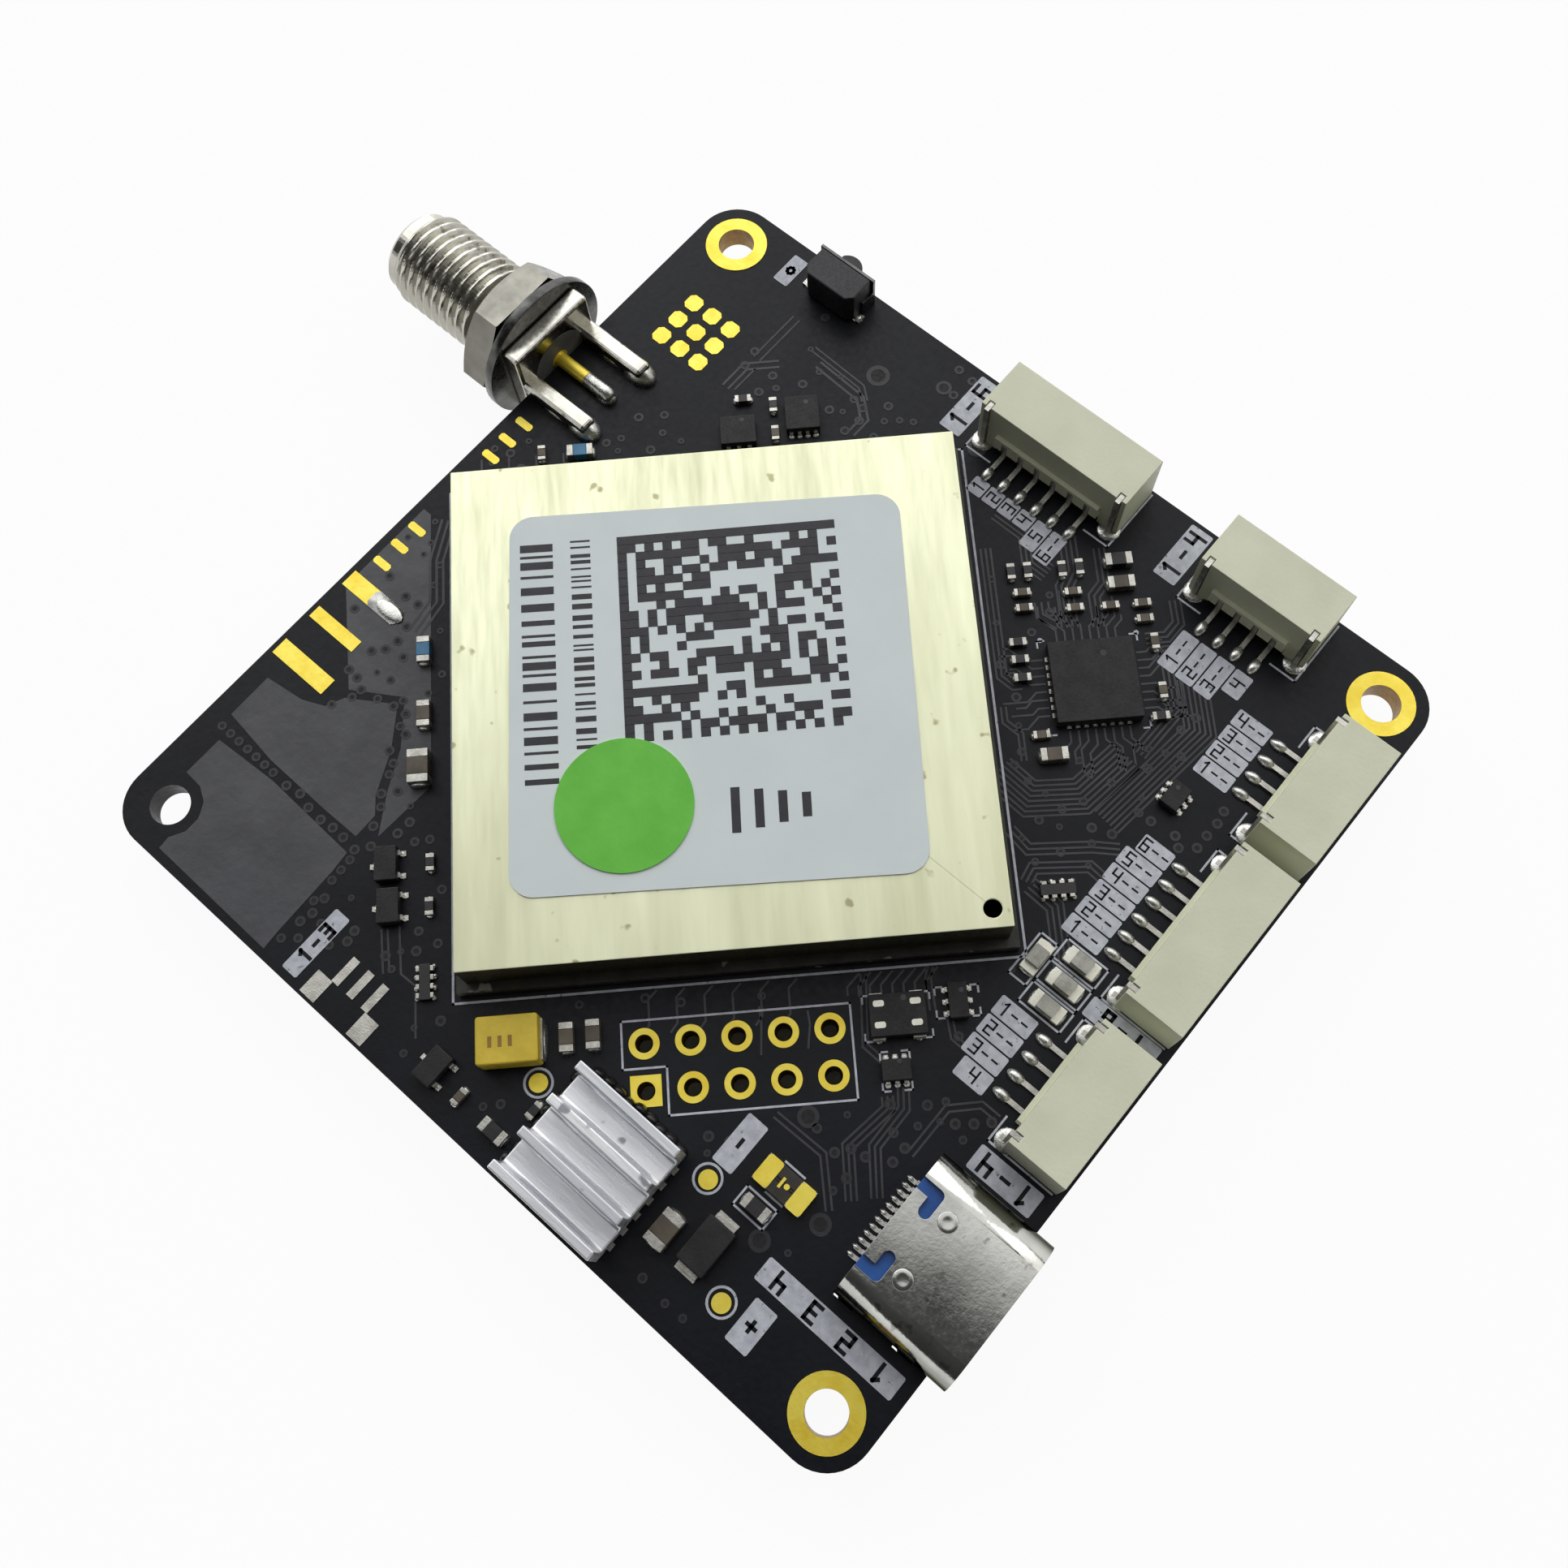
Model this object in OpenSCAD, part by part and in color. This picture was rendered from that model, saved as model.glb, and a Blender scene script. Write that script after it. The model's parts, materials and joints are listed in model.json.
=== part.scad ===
// Satellite-navigation receiver board: a square carrier with a shielded receiver module set at 45 degrees,
// an edge coaxial socket, five wire sockets, a USB socket, a side-push button and a heat sink.
// Origin: centre of the four mounting holes, on the board's underside. +Z is up, away from the board.
// +X edge: three wire sockets and the USB socket. +Y edge: button and two wire sockets.
// -X edge: coaxial socket.

/* [Board] */
// Side of the square board
board_size = 55.2; // [54.8:0.1:62]
// Thickness of the board
board_t = 1.6; // [1.2:0.1:2.4]
// Radius of the board's corners
corner_r = 2.7; // [1:0.1:4]
// Spacing of the mounting holes along each side
hole_spacing = 49.7; // [48.5:0.1:50.5]
// Diameter of the mounting holes
hole_d = 2.4; // [2:0.1:2.8]
// Outer diameter of the plated rings round three of the holes
ring_d = 4.0; // [3.6:0.1:4.4]
// Step from a mounting hole's wall out to its plated ring
ring_step = 0.18; // [0.17:0.01:0.3]
// Thickness of the plated copper
copper_t = 0.05; // [0.03:0.01:0.1]

/* [Receiver module] */
// Side of the module's own carrier board
module_size = 31; // [30:0.1:32]
// Thickness of the module's carrier board
carrier_t = 0.9; // [0.6:0.1:1.4]
// Distance from the board's centre to the module's centre, towards the -X edge
module_offset = 4.15; // [3.5:0.05:4.8]
// Height of the shield can
can_h = 3.1; // [2.4:0.1:4]
// Step from the carrier's edge in to the can's wall
can_inset = 0.55; // [0.3:0.05:1]
// Sheet thickness of the can
can_sheet = 0.2; // [0.15:0.01:0.4]
// Diameter of the pin-one hole in the can
pin_one_d = 1.0; // [0.6:0.1:1.5]
// Side of the paper label
label_size = 22.8; // [18:0.1:25]
// Corner radius of the label
label_r = 1.4; // [0.5:0.1:3]
// Thickness of the label and of the round sticker
label_t = 0.1; // [0.05:0.01:0.2]
// Diameter of the round sticker on the label
sticker_d = 7.7; // [5:0.1:10]

/* [Pin header footprint] */
// Pitch of the plated holes
header_pitch = 2.54; // [2:0.01:2.6]
// Diameter of the plated holes
header_hole_d = 1.0; // [0.8:0.05:1.2]
// Outer diameter of the plated pads
header_pad_d = 1.7; // [1.4:0.05:1.9]

/* [Coaxial socket] */
// Distance from the board's centre to the socket's axis, along the edge
coax_y = 11.1; // [9:0.1:13]
// Outer diameter of the threaded barrel
barrel_d = 6.2; // [6:0.05:6.35]
// Length of the barrel from the flange's front
barrel_l = 11.6; // [9:0.1:14]
// Side of the square flange
flange_size = 6.3; // [6.2:0.1:7]
// Thickness of the flange
flange_t = 1.25; // [1:0.05:2]
// Length of the four legs that grip the board
leg_l = 5; // [3:0.1:6]
// Width of each leg
leg_w = 1.15; // [0.8:0.05:1.3]
// Distance from the axis to the middle of a leg
leg_offset = 2.55; // [2.4:0.05:2.6]
// Diameter of the centre pin where it lies on the board
pin_d = 0.9; // [0.7:0.05:1.2]
// Length of the centre pin over the board
pin_l = 3.8; // [3:0.1:5]
// Diameter of the insulator in the socket
insulator_d = 4.1; // [3.8:0.1:4.4]
// Width of the nut across its flats
nut_flats = 8; // [7.5:0.1:9]
// Thickness of the nut
nut_t = 2.6; // [2:0.1:3.2]
// Outer diameter of the washer
washer_d = 9.5; // [8.8:0.1:10]
// Thickness of the washer
washer_t = 0.65; // [0.4:0.05:1]
// Radial clearance of the nut and the washer on the barrel's shank
nut_clearance = 0.05; // [0.02:0.01:0.1]

/* [Wire sockets] */
// Pitch of the contacts
contact_pitch = 1.25; // [1.2:0.01:1.3]
// Housing width beyond the outer contacts, both ends together
housing_end = 4.4; // [4:0.1:4.8]
// Height of the housings
housing_h = 4.05; // [3.4:0.05:4.6]
// Depth of the housing's top
housing_d = 3.65; // [3.4:0.05:4]
// Depth of the ledge behind the housing
ledge_d = 0.3; // [0.3:0.05:0.6]
// Height of the top of the ledge
ledge_h = 1.85; // [1.75:0.05:2.4]
// Wall thickness of the housings
housing_wall = 0.65; // [0.5:0.05:0.8]
// Depth of the plug cavity
cavity_d = 2.6; // [2:0.05:2.7]
// Width of a contact
contact_w = 0.3; // [0.25:0.05:0.5]
// Thickness of a contact
contact_t = 0.25; // [0.2:0.05:0.35]
// Height of a contact's blade over the board
blade_z = 1.3; // [1.2:0.05:1.45]
// Distance from a housing's front to the end of its tails
tail_reach = 5.5; // [4.9:0.1:6]
// Distance from the +Y edge in to its housings' fronts
upper_setback = 0.2; // [0:0.05:0.6]
// Distance from the +X edge in to its housings' fronts
right_setback = 0.4; // [0:0.05:0.6]
// Thickness of the solder tabs
tab_t = 0.3; // [0.2:0.05:0.35]

/* [USB socket] */
// Distance from the board's centre to the socket's axis, along the edge
usb_y = -15.75; // [-16.5:0.05:-15]
// Width of the shell
usb_w = 8.94; // [8.6:0.02:9.2]
// Height of the shell
usb_h = 3.2; // [3:0.02:3.4]
// Length of the shell
usb_l = 7.2; // [6.8:0.1:7.8]
// Sheet thickness of the shell
usb_sheet = 0.3; // [0.2:0.05:0.4]
// Reach of the shell over the board's edge
usb_overhang = 1.0; // [0.5:0.1:1.5]
// Thickness of the tongue
tongue_t = 0.7; // [0.6:0.05:0.8]
// Length of the tongue in front of the insulator
tongue_l = 4.4; // [4:0.1:4.6]
// Pitch of the solder tails
usb_pitch = 0.45; // [0.4:0.01:0.5]

/* [Button] */
// Distance from the board's centre to the button's axis, along the edge
button_x = -17.2; // [-18:0.1:-16]
// Width of the button's body
button_w = 3.9; // [3.6:0.1:4.4]
// Depth of the button's body behind its cover
button_d = 2.1; // [2:0.1:2.6]
// Height of the button's body
button_h = 2.5; // [2.3:0.1:3]
// Sheet thickness of the button's cover
cover_t = 0.2; // [0.15:0.01:0.25]
// Width of the plunger
plunger_w = 1.6; // [1.2:0.05:1.7]
// Height of the plunger
plunger_h = 1.1; // [0.9:0.05:1.2]
// Reach of the plunger in front of the cover
plunger_reach = 0.8; // [0.4:0.05:0.9]
// Travel of the plunger
plunger_travel = 0.25; // [0.15:0.05:0.3]
// Clearance round the plunger
plunger_clearance = 0.06; // [0.04:0.01:0.1]

/* [Heat sink] */
// Side of the heat sink
sink_size = 7.05; // [6.8:0.05:7.2]
// Thickness of the heat sink's base
sink_base_t = 0.9; // [0.6:0.1:1.4]
// Height of the fins over the base
fin_h = 2.1; // [1.4:0.1:3]
// Thickness of a fin
fin_t = 0.55; // [0.4:0.05:0.7]
// Number of fins
fin_count = 4; // [3:1:5]
// Radius at the foot of the fins
fin_root_r = 0.25; // [0.1:0.05:0.3]
// Thickness of the thermal pad under the heat sink
thermal_pad_t = 0.15; // [0.1:0.05:0.3]
// Side of the regulator chip under the heat sink
regulator_size = 6.2; // [5.5:0.1:6.4]
// Height of the regulator chip
regulator_h = 0.85; // [0.7:0.05:1.1]

/* [Small parts] */
// Length of a small chip part
chip_s_l = 1.0; // [0.9:0.05:1.1]
// Width of a small chip part
chip_s_w = 0.5; // [0.4:0.05:0.6]
// Height of a small chip part
chip_s_h = 0.45; // [0.3:0.05:0.55]
// Length of a middle chip part
chip_m_l = 1.6; // [1.5:0.05:1.7]
// Width of a middle chip part
chip_m_w = 0.8; // [0.7:0.05:0.9]
// Height of a middle chip part
chip_m_h = 0.7; // [0.5:0.05:0.9]
// Length of a large chip part
chip_l_l = 2.0; // [1.9:0.05:2.1]
// Width of a large chip part
chip_l_w = 1.25; // [1.1:0.05:1.3]
// Height of a large chip part
chip_l_h = 1.0; // [0.7:0.05:1.2]
// Share of a chip part's length under each of its end caps
cap_share = 0.24; // [0.18:0.01:0.3]
// Side of the network chip
network_size = 5; // [4.6:0.1:5.2]
// Height of the network chip
network_h = 0.9; // [0.7:0.05:1.1]
// Length of the tantalum capacitor
tantalum_l = 3.4; // [3.2:0.1:3.8]
// Width of the tantalum capacitor
tantalum_w = 2.6; // [2.4:0.1:3]
// Height of the tantalum capacitor
tantalum_h = 1.9; // [1.6:0.1:2.2]
// Length of an indicator lamp
lamp_l = 2.0; // [1.8:0.05:2.1]
// Width of an indicator lamp
lamp_w = 1.0; // [0.9:0.05:1.25]
// Height of an indicator lamp
lamp_h = 0.7; // [0.5:0.05:0.9]

/* [Hidden] */
$fn = 48;
eps = 0.01;
edge = board_size / 2;
top = board_t;

mask_black = [0.09, 0.09, 0.11];
gold = [0.95, 0.80, 0.30];
tin = [0.80, 0.80, 0.82];
nickel = [0.70, 0.69, 0.66];
ivory = [0.82, 0.83, 0.72];
charcoal = [0.17, 0.17, 0.18];
pale_brass = [0.90, 0.88, 0.66];

// Fits between seated pieces
seat = 0.02;

// Module frame: its sides stand at 45 degrees to the board's edges
module_turn = 45;
module_half = module_size / 2;
can_size = module_size - 2 * can_inset;
can_top = top + carrier_t + can_h;

// Chips under the can: place from the module's centre, then length, width and height
receiver_place = [-4, 3];
receiver_size = [10, 10, 1.1];
radio_place = [7, 6];
radio_size = [6, 6, 0.9];
oscillator_place = [7, -5];
oscillator_size = [3.2, 2.5, 0.9];

// Coaxial socket heights and bores
coax_z = top + copper_t + pin_d / 2;
leg_gap = 0.03;
socket_bore_d = 4.7;
socket_bore_l = 2.0;
tip_d = 5.5;
tip_l = 0.8;
tip_chamfer = 0.25;
shank_d = barrel_d - 0.4;
shank_l = washer_t + nut_t + 0.35;
inner_pin_d = 1.27;
inner_socket_d = 0.94;
inner_socket_l = 2.4;

// Wire sockets: contact count and place along the edge, from the middle of the edge
ethernet_n = 6;
ethernet_at = 1.3;
serial_c_n = 4;
serial_c_at = 16.05;
serial_b_n = 4;
serial_b_at = 17.05;
telemetry_n = 6;
telemetry_at = 6.25;
serial_a_n = 4;
serial_a_at = -4.9;
notch_w = 0.4;
notch_from_end = 0.3;
notch_d = 0.45;
ledge_from_end = 1.45;
ledge_gap_h = 0.75;
ledge_gap_d = 0.35;
contact_tip_inset = 0.6;
tab_foot_l = 0.25;
tab_foot_t = 0.2;

// USB socket
usb_tail_count = 12;
usb_tail_w = 0.25;
usb_tail_l = 0.6;
usb_tail_t = 0.15;
usb_notch_w = 0.7;
usb_notch_l = 1.45;
usb_notch_at = 2.45;
usb_hook_l = 1.0;
usb_leg_w = 1.1;
usb_leg_t = 0.3;
usb_leg_reach = 0.4;
usb_leg_gap = 0.1;
usb_leg_front = 2.6;
usb_leg_rear = 6.5;
usb_back_l = 2.0;
tongue_w = 6.7;

// Button
button_floor = 0.15;
cover_wing_l = 1.0;
shoulder_w = plunger_w + 0.6;
shoulder_h = plunger_h + 0.2;
shoulder_l = 0.5;
plunger_z = button_h - 1;
dome_t = 0.12;
dome_gap = 0.04;
chamber_l = shoulder_l + plunger_travel + dome_gap + dome_t + plunger_clearance;

// Heat sink, from the board's -Y edge and the board's middle
sink_x = 7.65;
sink_y = -edge + 0.5 + sink_size / 2;
sink_z = top + regulator_h + thermal_pad_t;
channel_w = (sink_size - fin_count * fin_t) / (fin_count - 1);

// Sizes of chip parts: length, width, height
chip_s = [chip_s_l, chip_s_w, chip_s_h];
chip_m = [chip_m_l, chip_m_w, chip_m_h];
chip_l = [chip_l_l, chip_l_w, chip_l_h];

// Turns of a chip part in its own frame
flat = 0;
upright = 90;

// Chip parts round the module: distance out from the module's side, place along it, turn and size
right_capacitors = [
    [2.8, 5.8, flat, chip_s], [2.8, 4.8, flat, chip_s], [5.8, 5.6, flat, chip_s], [5.8, 4.55, flat, chip_s],
    [7.9, 4.5, flat, chip_s], [9.8, 4.5, flat, chip_s], [9.8, 3.5, flat, chip_s],
    [10.15, 2, upright, chip_s], [10.15, -1.1, upright, chip_s],
    [2.8, -3.2, flat, chip_s], [8.7, 5.85, flat, chip_m], [3.35, -4.5, flat, chip_m]
];
right_resistors = [
    [2.3, 7.2, upright, chip_s], [3.3, 7.2, upright, chip_s], [5.35, 7.1, upright, chip_s],
    [6.4, 7.15, upright, chip_s], [2.15, 2.65, flat, chip_s], [2.15, 1.55, flat, chip_s],
    [2.15, 0.4, flat, chip_s], [9.8, -2.65, flat, chip_s], [8.75, 7.35, flat, chip_m]
];
upper_capacitors = [[2.4, -4.45, flat, chip_s], [2.35, 10.1, flat, chip_s]];
upper_resistors = [[5, -2.6, upright, chip_s], [4.4, -4.45, flat, chip_s]];
left_capacitors = [[1.9, -1.2, upright, chip_m], [2.15, 2.1, upright, chip_l]];
left_resistors = [[1.55, 7.75, upright, chip_s], [1.6, 10.3, upright, chip_s]];
lower_capacitors = [[2.75, -9.6, flat, chip_m], [2.7, -8.15, flat, chip_m]];

// Chip parts near the board's -Y edge: place across from the middle, distance in from the edge, turn and size
low_edge_capacitors = [[-0.3, 1.85, upright, chip_s], [12.75, 4, upright, chip_l]];
low_edge_resistors = [[2.4, 1.75, flat, chip_m], [3.3, 3.95, upright, chip_s], [15.65, 7.9, flat, chip_m]];

// Four-way resistor arrays
array_l = 2.0;
array_w = 1.0;
array_h = 0.4;
array_n = 4;
array_pad = 0.2;

// Fuse and diode
fuse_l = 3.2;
fuse_w = 1.6;
fuse_h = 0.5;
fuse_cap_l = 0.95;
fuse_cap_t = 0.06;
fuse_scallop_d = 0.5;
fuse_place = [16.05, 9.75];
diode_l = 2.8;
diode_w = 1.75;
diode_h = 1.0;
diode_lead_l = 0.45;
diode_lead_t = 0.25;
diode_place = [14.95, 4.8];

// Gold pads for a second antenna socket: distance along the -X edge, length and width
antenna_pad_inset = 0.35;
antenna_ground_l = 4.2;
antenna_signal_l = 3.65;
antenna_ground_w = 1.15;
antenna_signal_w = 0.85;
antenna_y = -11.0;
antenna_step = 2.9;

// Footprint of a socket that isn't fitted, near the -Y edge
spare_x = -8.85;
spare_pad = [0.5, 1.75];
spare_tab = [1.1, 1.5];
spare_tab_offset = 1.85;
spare_step = 1.16;

// Test pads
test_d = 1.05;
test_places = [[12.75, 7.35], [17.35, 3.2], [2.4, 5.15]];

module rounded_square(w, d, r) {
    union() {
        square([w - 2 * r, d], center = true);
        square([w, d - 2 * r], center = true);
        for (sx = [-1, 1], sy = [-1, 1]) {
            translate([sx * (w / 2 - r), sy * (d / 2 - r)]) circle(r = r);
        }
    }
}

module box(w, d, h) {
    translate([-w / 2, -d / 2, 0]) cube([w, d, h]);
}

module at_module() {
    translate([-module_offset, 0, 0]) rotate([0, 0, module_turn]) children();
}

// Sides of the module, seen from above with its label upright: 0 right, 1 upper, 2 left, 3 lower
module beside_module(side, out, along, turn = 0) {
    at_module() rotate([0, 0, 90 * side]) translate([module_half + out, along, top]) {
        rotate([0, 0, turn]) children();
    }
}

module near_low_edge(place, turn = 0) {
    translate([place[0], -edge + place[1], top]) rotate([0, 0, turn]) children();
}

module near_right_edge(inset, y, turn = 0) {
    translate([edge - inset, y, top]) rotate([0, 0, turn]) children();
}

module on_upper_edge(x) {
    translate([x, edge - upper_setback, top]) children();
}

module on_right_edge(y) {
    translate([edge - right_setback, y, top]) rotate([0, 0, -90]) children();
}

function hole_places() = [for (sx = [-1, 1], sy = [-1, 1]) [sx * hole_spacing / 2, sy * hole_spacing / 2]];
function ring_places() = [for (p = hole_places()) if (p[0] > 0 || p[1] > 0) p];
function header_places() = [for (i = [-2:2], j = [-0.5, 0.5]) [i * header_pitch, j * header_pitch]];

// Board

module at_header() {
    header_out = 4.65;
    at_module() translate([-0.35, -module_half - header_out, 0]) children();
}

module usb_leg_places() {
    for (x = [usb_leg_front, usb_leg_rear], side = [-1, 1]) {
        translate([edge + usb_overhang - x, usb_y + side * (usb_w - usb_leg_t) / 2, 0]) children();
    }
}

module pcb() {
    color(mask_black) difference() {
        linear_extrude(board_t) rounded_square(board_size, board_size, corner_r);
        for (p = hole_places()) {
            translate([p[0], p[1], -1]) cylinder(d = hole_d, h = board_t + 2);
        }
        at_header() for (p = header_places()) {
            translate([p[0], p[1], -1]) cylinder(d = header_hole_d, h = board_t + 2);
        }
        usb_leg_places() translate([0, 0, -1]) {
            box(usb_leg_w + 2 * usb_leg_gap, usb_leg_t + 2 * usb_leg_gap, board_t + 2);
        }
    }
}

module both_faces() {
    translate([0, 0, top]) children();
    translate([0, 0, -copper_t]) children();
}

module mounting_rings() {
    color(gold) for (p = ring_places()) {
        translate([p[0], p[1], top]) difference() {
            cylinder(d = ring_d, h = copper_t);
            translate([0, 0, -1]) cylinder(d = hole_d + 2 * ring_step, h = copper_t + 2);
        }
    }
}

module header_pads() {
    square_place = [-2 * header_pitch, -0.5 * header_pitch];
    color(gold) both_faces() at_header() for (p = header_places()) {
        translate([p[0], p[1], 0]) difference() {
            if (p == square_place) box(header_pad_d, header_pad_d, copper_t);
            else cylinder(d = header_pad_d, h = copper_t);
            translate([0, 0, -1]) cylinder(d = header_hole_d, h = copper_t + 2);
        }
    }
}

module antenna_pads() {
    color(gold) for (i = [-1:1]) {
        pad_l = i == 0 ? antenna_signal_l : antenna_ground_l;
        pad_w = i == 0 ? antenna_signal_w : antenna_ground_w;
        pad_y = antenna_y + i * antenna_step;
        translate([-edge + antenna_pad_inset, pad_y - pad_w / 2, top]) cube([pad_l, pad_w, copper_t]);
    }
}

module test_pads() {
    color(gold) for (p = test_places) near_low_edge(p) cylinder(d = test_d, h = copper_t);
}

module spare_socket_pads() {
    spare_pads_in = 2.6;
    spare_tabs_in = 0.95;
    color(tin) {
        for (i = [-1:1]) {
            near_low_edge([spare_x + i * spare_step, spare_pads_in]) {
                box(spare_pad[0], spare_pad[1], copper_t);
            }
        }
        for (i = [-1, 1]) {
            near_low_edge([spare_x + i * spare_tab_offset, spare_tabs_in]) {
                box(spare_tab[0], spare_tab[1], copper_t);
            }
        }
    }
}

// Receiver module

module module_carrier() {
    color([0.20, 0.21, 0.16]) at_module() translate([0, 0, top]) box(module_size, module_size, carrier_t);
}

module shield_can() {
    pin_one_inset = 1.05;
    color(pale_brass) at_module() translate([0, 0, top + carrier_t]) difference() {
        box(can_size, can_size, can_h);
        translate([0, 0, -1]) box(can_size - 2 * can_sheet, can_size - 2 * can_sheet, can_h + 1 - can_sheet);
        translate([can_size / 2 - pin_one_inset, -can_size / 2 + pin_one_inset, 0]) {
            cylinder(d = pin_one_d, h = can_h + 1);
        }
    }
}

module on_can() {
    label_shift = [-0.3, -0.05];
    label_turn = -1.1;
    at_module() translate([label_shift[0], label_shift[1], can_top]) rotate([0, 0, label_turn]) children();
}

module module_label() {
    color([0.84, 0.87, 0.88]) on_can() linear_extrude(label_t) {
        rounded_square(label_size, label_size, label_r);
    }
}

module inspection_sticker() {
    sticker_place = [-5.05, -6.55];
    color([0.42, 0.75, 0.28]) on_can() translate([sticker_place[0], sticker_place[1], label_t]) {
        cylinder(d = sticker_d, h = label_t);
    }
}

module inner_chip(place, size) {
    at_module() translate([place[0], place[1], top + carrier_t]) box(size[0], size[1], size[2]);
}

module receiver_chip() {
    color(charcoal) inner_chip(receiver_place, receiver_size);
}

module radio_chip() {
    color(charcoal) inner_chip(radio_place, radio_size);
}

module reference_oscillator() {
    color(nickel) inner_chip(oscillator_place, oscillator_size);
}

// Coaxial socket, built along +Z from the flange's back and then laid along -X

module on_coax_axis() {
    translate([-edge, coax_y, coax_z]) rotate([0, -90, 0]) children();
}

module coax_leg(level) {
    tip_r = leg_w / 2;
    translate([-edge, coax_y, level]) for (side = [-1, 1]) {
        translate([0, side * leg_offset, 0]) linear_extrude(leg_w) union() {
            translate([0, -leg_w / 2]) square([leg_l - tip_r, leg_w]);
            translate([leg_l - tip_r, 0]) circle(r = tip_r);
        }
    }
}

module coax_body() {
    total = flange_t + barrel_l;
    thread_from = flange_t + shank_l;
    color(nickel) union() {
        on_coax_axis() difference() {
            union() {
                box(flange_size, flange_size, flange_t);
                rotate_extrude() polygon([
                    [0, 0], [shank_d / 2, 0], [shank_d / 2, thread_from], [barrel_d / 2, thread_from],
                    [barrel_d / 2, total - tip_l], [tip_d / 2, total - tip_l],
                    [tip_d / 2, total - tip_chamfer], [tip_d / 2 - tip_chamfer, total], [0, total]
                ]);
            }
            translate([0, 0, -1]) cylinder(d = insulator_d + 2 * seat, h = total + 2);
            translate([0, 0, total - socket_bore_l]) cylinder(d = socket_bore_d, h = socket_bore_l + 1);
        }
        coax_leg(top + leg_gap);
        coax_leg(-leg_gap - leg_w);
    }
}

module coax_washer() {
    color([0.35, 0.35, 0.36]) on_coax_axis() translate([0, 0, flange_t]) difference() {
        cylinder(d = washer_d, h = washer_t);
        translate([0, 0, -1]) cylinder(d = shank_d + 2 * nut_clearance, h = washer_t + 2);
    }
}

module coax_nut() {
    face_t = 0.4;
    nut_chamfer = 0.45;
    nut_corners = nut_flats / cos(30);
    color(nickel) on_coax_axis() translate([0, 0, flange_t + washer_t]) difference() {
        union() {
            cylinder(d = nut_flats, h = face_t);
            intersection() {
                translate([0, 0, face_t]) rotate([0, 0, 30]) {
                    cylinder(d = nut_corners, h = nut_t - face_t, $fn = 6);
                }
                rotate_extrude() polygon([
                    [0, 0], [nut_flats / 2, 0], [nut_corners / 2 + eps, nut_chamfer],
                    [nut_corners / 2 + eps, nut_t - nut_chamfer],
                    [nut_flats / 2 - nut_chamfer / 2, nut_t], [0, nut_t]
                ]);
            }
        }
        translate([0, 0, -1]) cylinder(d = shank_d + 2 * nut_clearance, h = nut_t + 2);
    }
}

module coax_insulator() {
    insulator_l = flange_t + barrel_l - socket_bore_l;
    color([0.93, 0.93, 0.90]) on_coax_axis() difference() {
        cylinder(d = insulator_d, h = insulator_l);
        translate([0, 0, -1]) cylinder(d = inner_pin_d, h = insulator_l + 2);
    }
}

module coax_center_pin() {
    socket_end = flange_t + barrel_l - socket_bore_l;
    color(gold) on_coax_axis() difference() {
        union() {
            cylinder(d = inner_pin_d, h = socket_end);
            translate([0, 0, -pin_l]) cylinder(d = pin_d, h = pin_l);
        }
        translate([0, 0, socket_end - inner_socket_l]) cylinder(d = inner_socket_d, h = inner_socket_l + 1);
    }
}

// Wire sockets, opening towards +Y with the front at y = 0

function housing_w(n) = contact_pitch * (n - 1) + housing_end;
function contact_xs(n) = [for (i = [0:n - 1]) (i - (n - 1) / 2) * contact_pitch];

module wire_housing(n) {
    w = housing_w(n);
    cavity_w = w - 2 * housing_wall - 0.4;
    ledge_w = w - 2 * ledge_from_end;
    slot_w = contact_w + 0.1;
    blade_top = blade_z + contact_t;
    key_w = 0.9;
    color(ivory) difference() {
        union() {
            translate([-w / 2, -housing_d, 0]) cube([w, housing_d, housing_h]);
            translate([-ledge_w / 2, -housing_d - ledge_d, 0]) cube([ledge_w, ledge_d + eps, ledge_h]);
        }
        translate([-cavity_w / 2, -cavity_d, housing_wall]) {
            cube([cavity_w, cavity_d + 1, housing_h - 2 * housing_wall]);
        }
        for (side = [-1, 1]) {
            translate([side * cavity_w / 4 - key_w / 2, -cavity_d, housing_h - housing_wall - eps]) {
                cube([key_w, cavity_d + 1, housing_wall / 2]);
            }
            translate([side * (w / 2 - notch_from_end - notch_w / 2) - notch_w / 2, -housing_d - 1, -1]) {
                cube([notch_w, notch_d + 1, housing_h + 2]);
            }
        }
        translate([-ledge_w / 2, -housing_d - 1, -1]) cube([ledge_w, 1 + ledge_gap_d, 1 + ledge_gap_h]);
        for (x = contact_xs(n)) {
            translate([x - contact_w / 2, -housing_d - 1, blade_z]) cube([contact_w, housing_d, contact_t]);
            translate([x - slot_w / 2, -housing_d - ledge_d - 1, -1]) {
                cube([slot_w, ledge_d + 1, blade_top + 1]);
            }
        }
    }
}

// One contact: blade in the cavity, a drop behind the housing and a tail on the board
module wire_contacts(n) {
    blade_top = blade_z + contact_t;
    drop = housing_d + contact_t;
    color(tin) for (x = contact_xs(n)) {
        translate([x + contact_w / 2, 0, 0]) rotate([90, 0, -90]) linear_extrude(contact_w) polygon([
            [contact_tip_inset, blade_z], [contact_tip_inset, blade_top],
            [drop, blade_top], [drop, contact_t], [tail_reach, contact_t],
            [tail_reach, 0], [housing_d, 0], [housing_d, blade_z]
        ]);
    }
}

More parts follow.
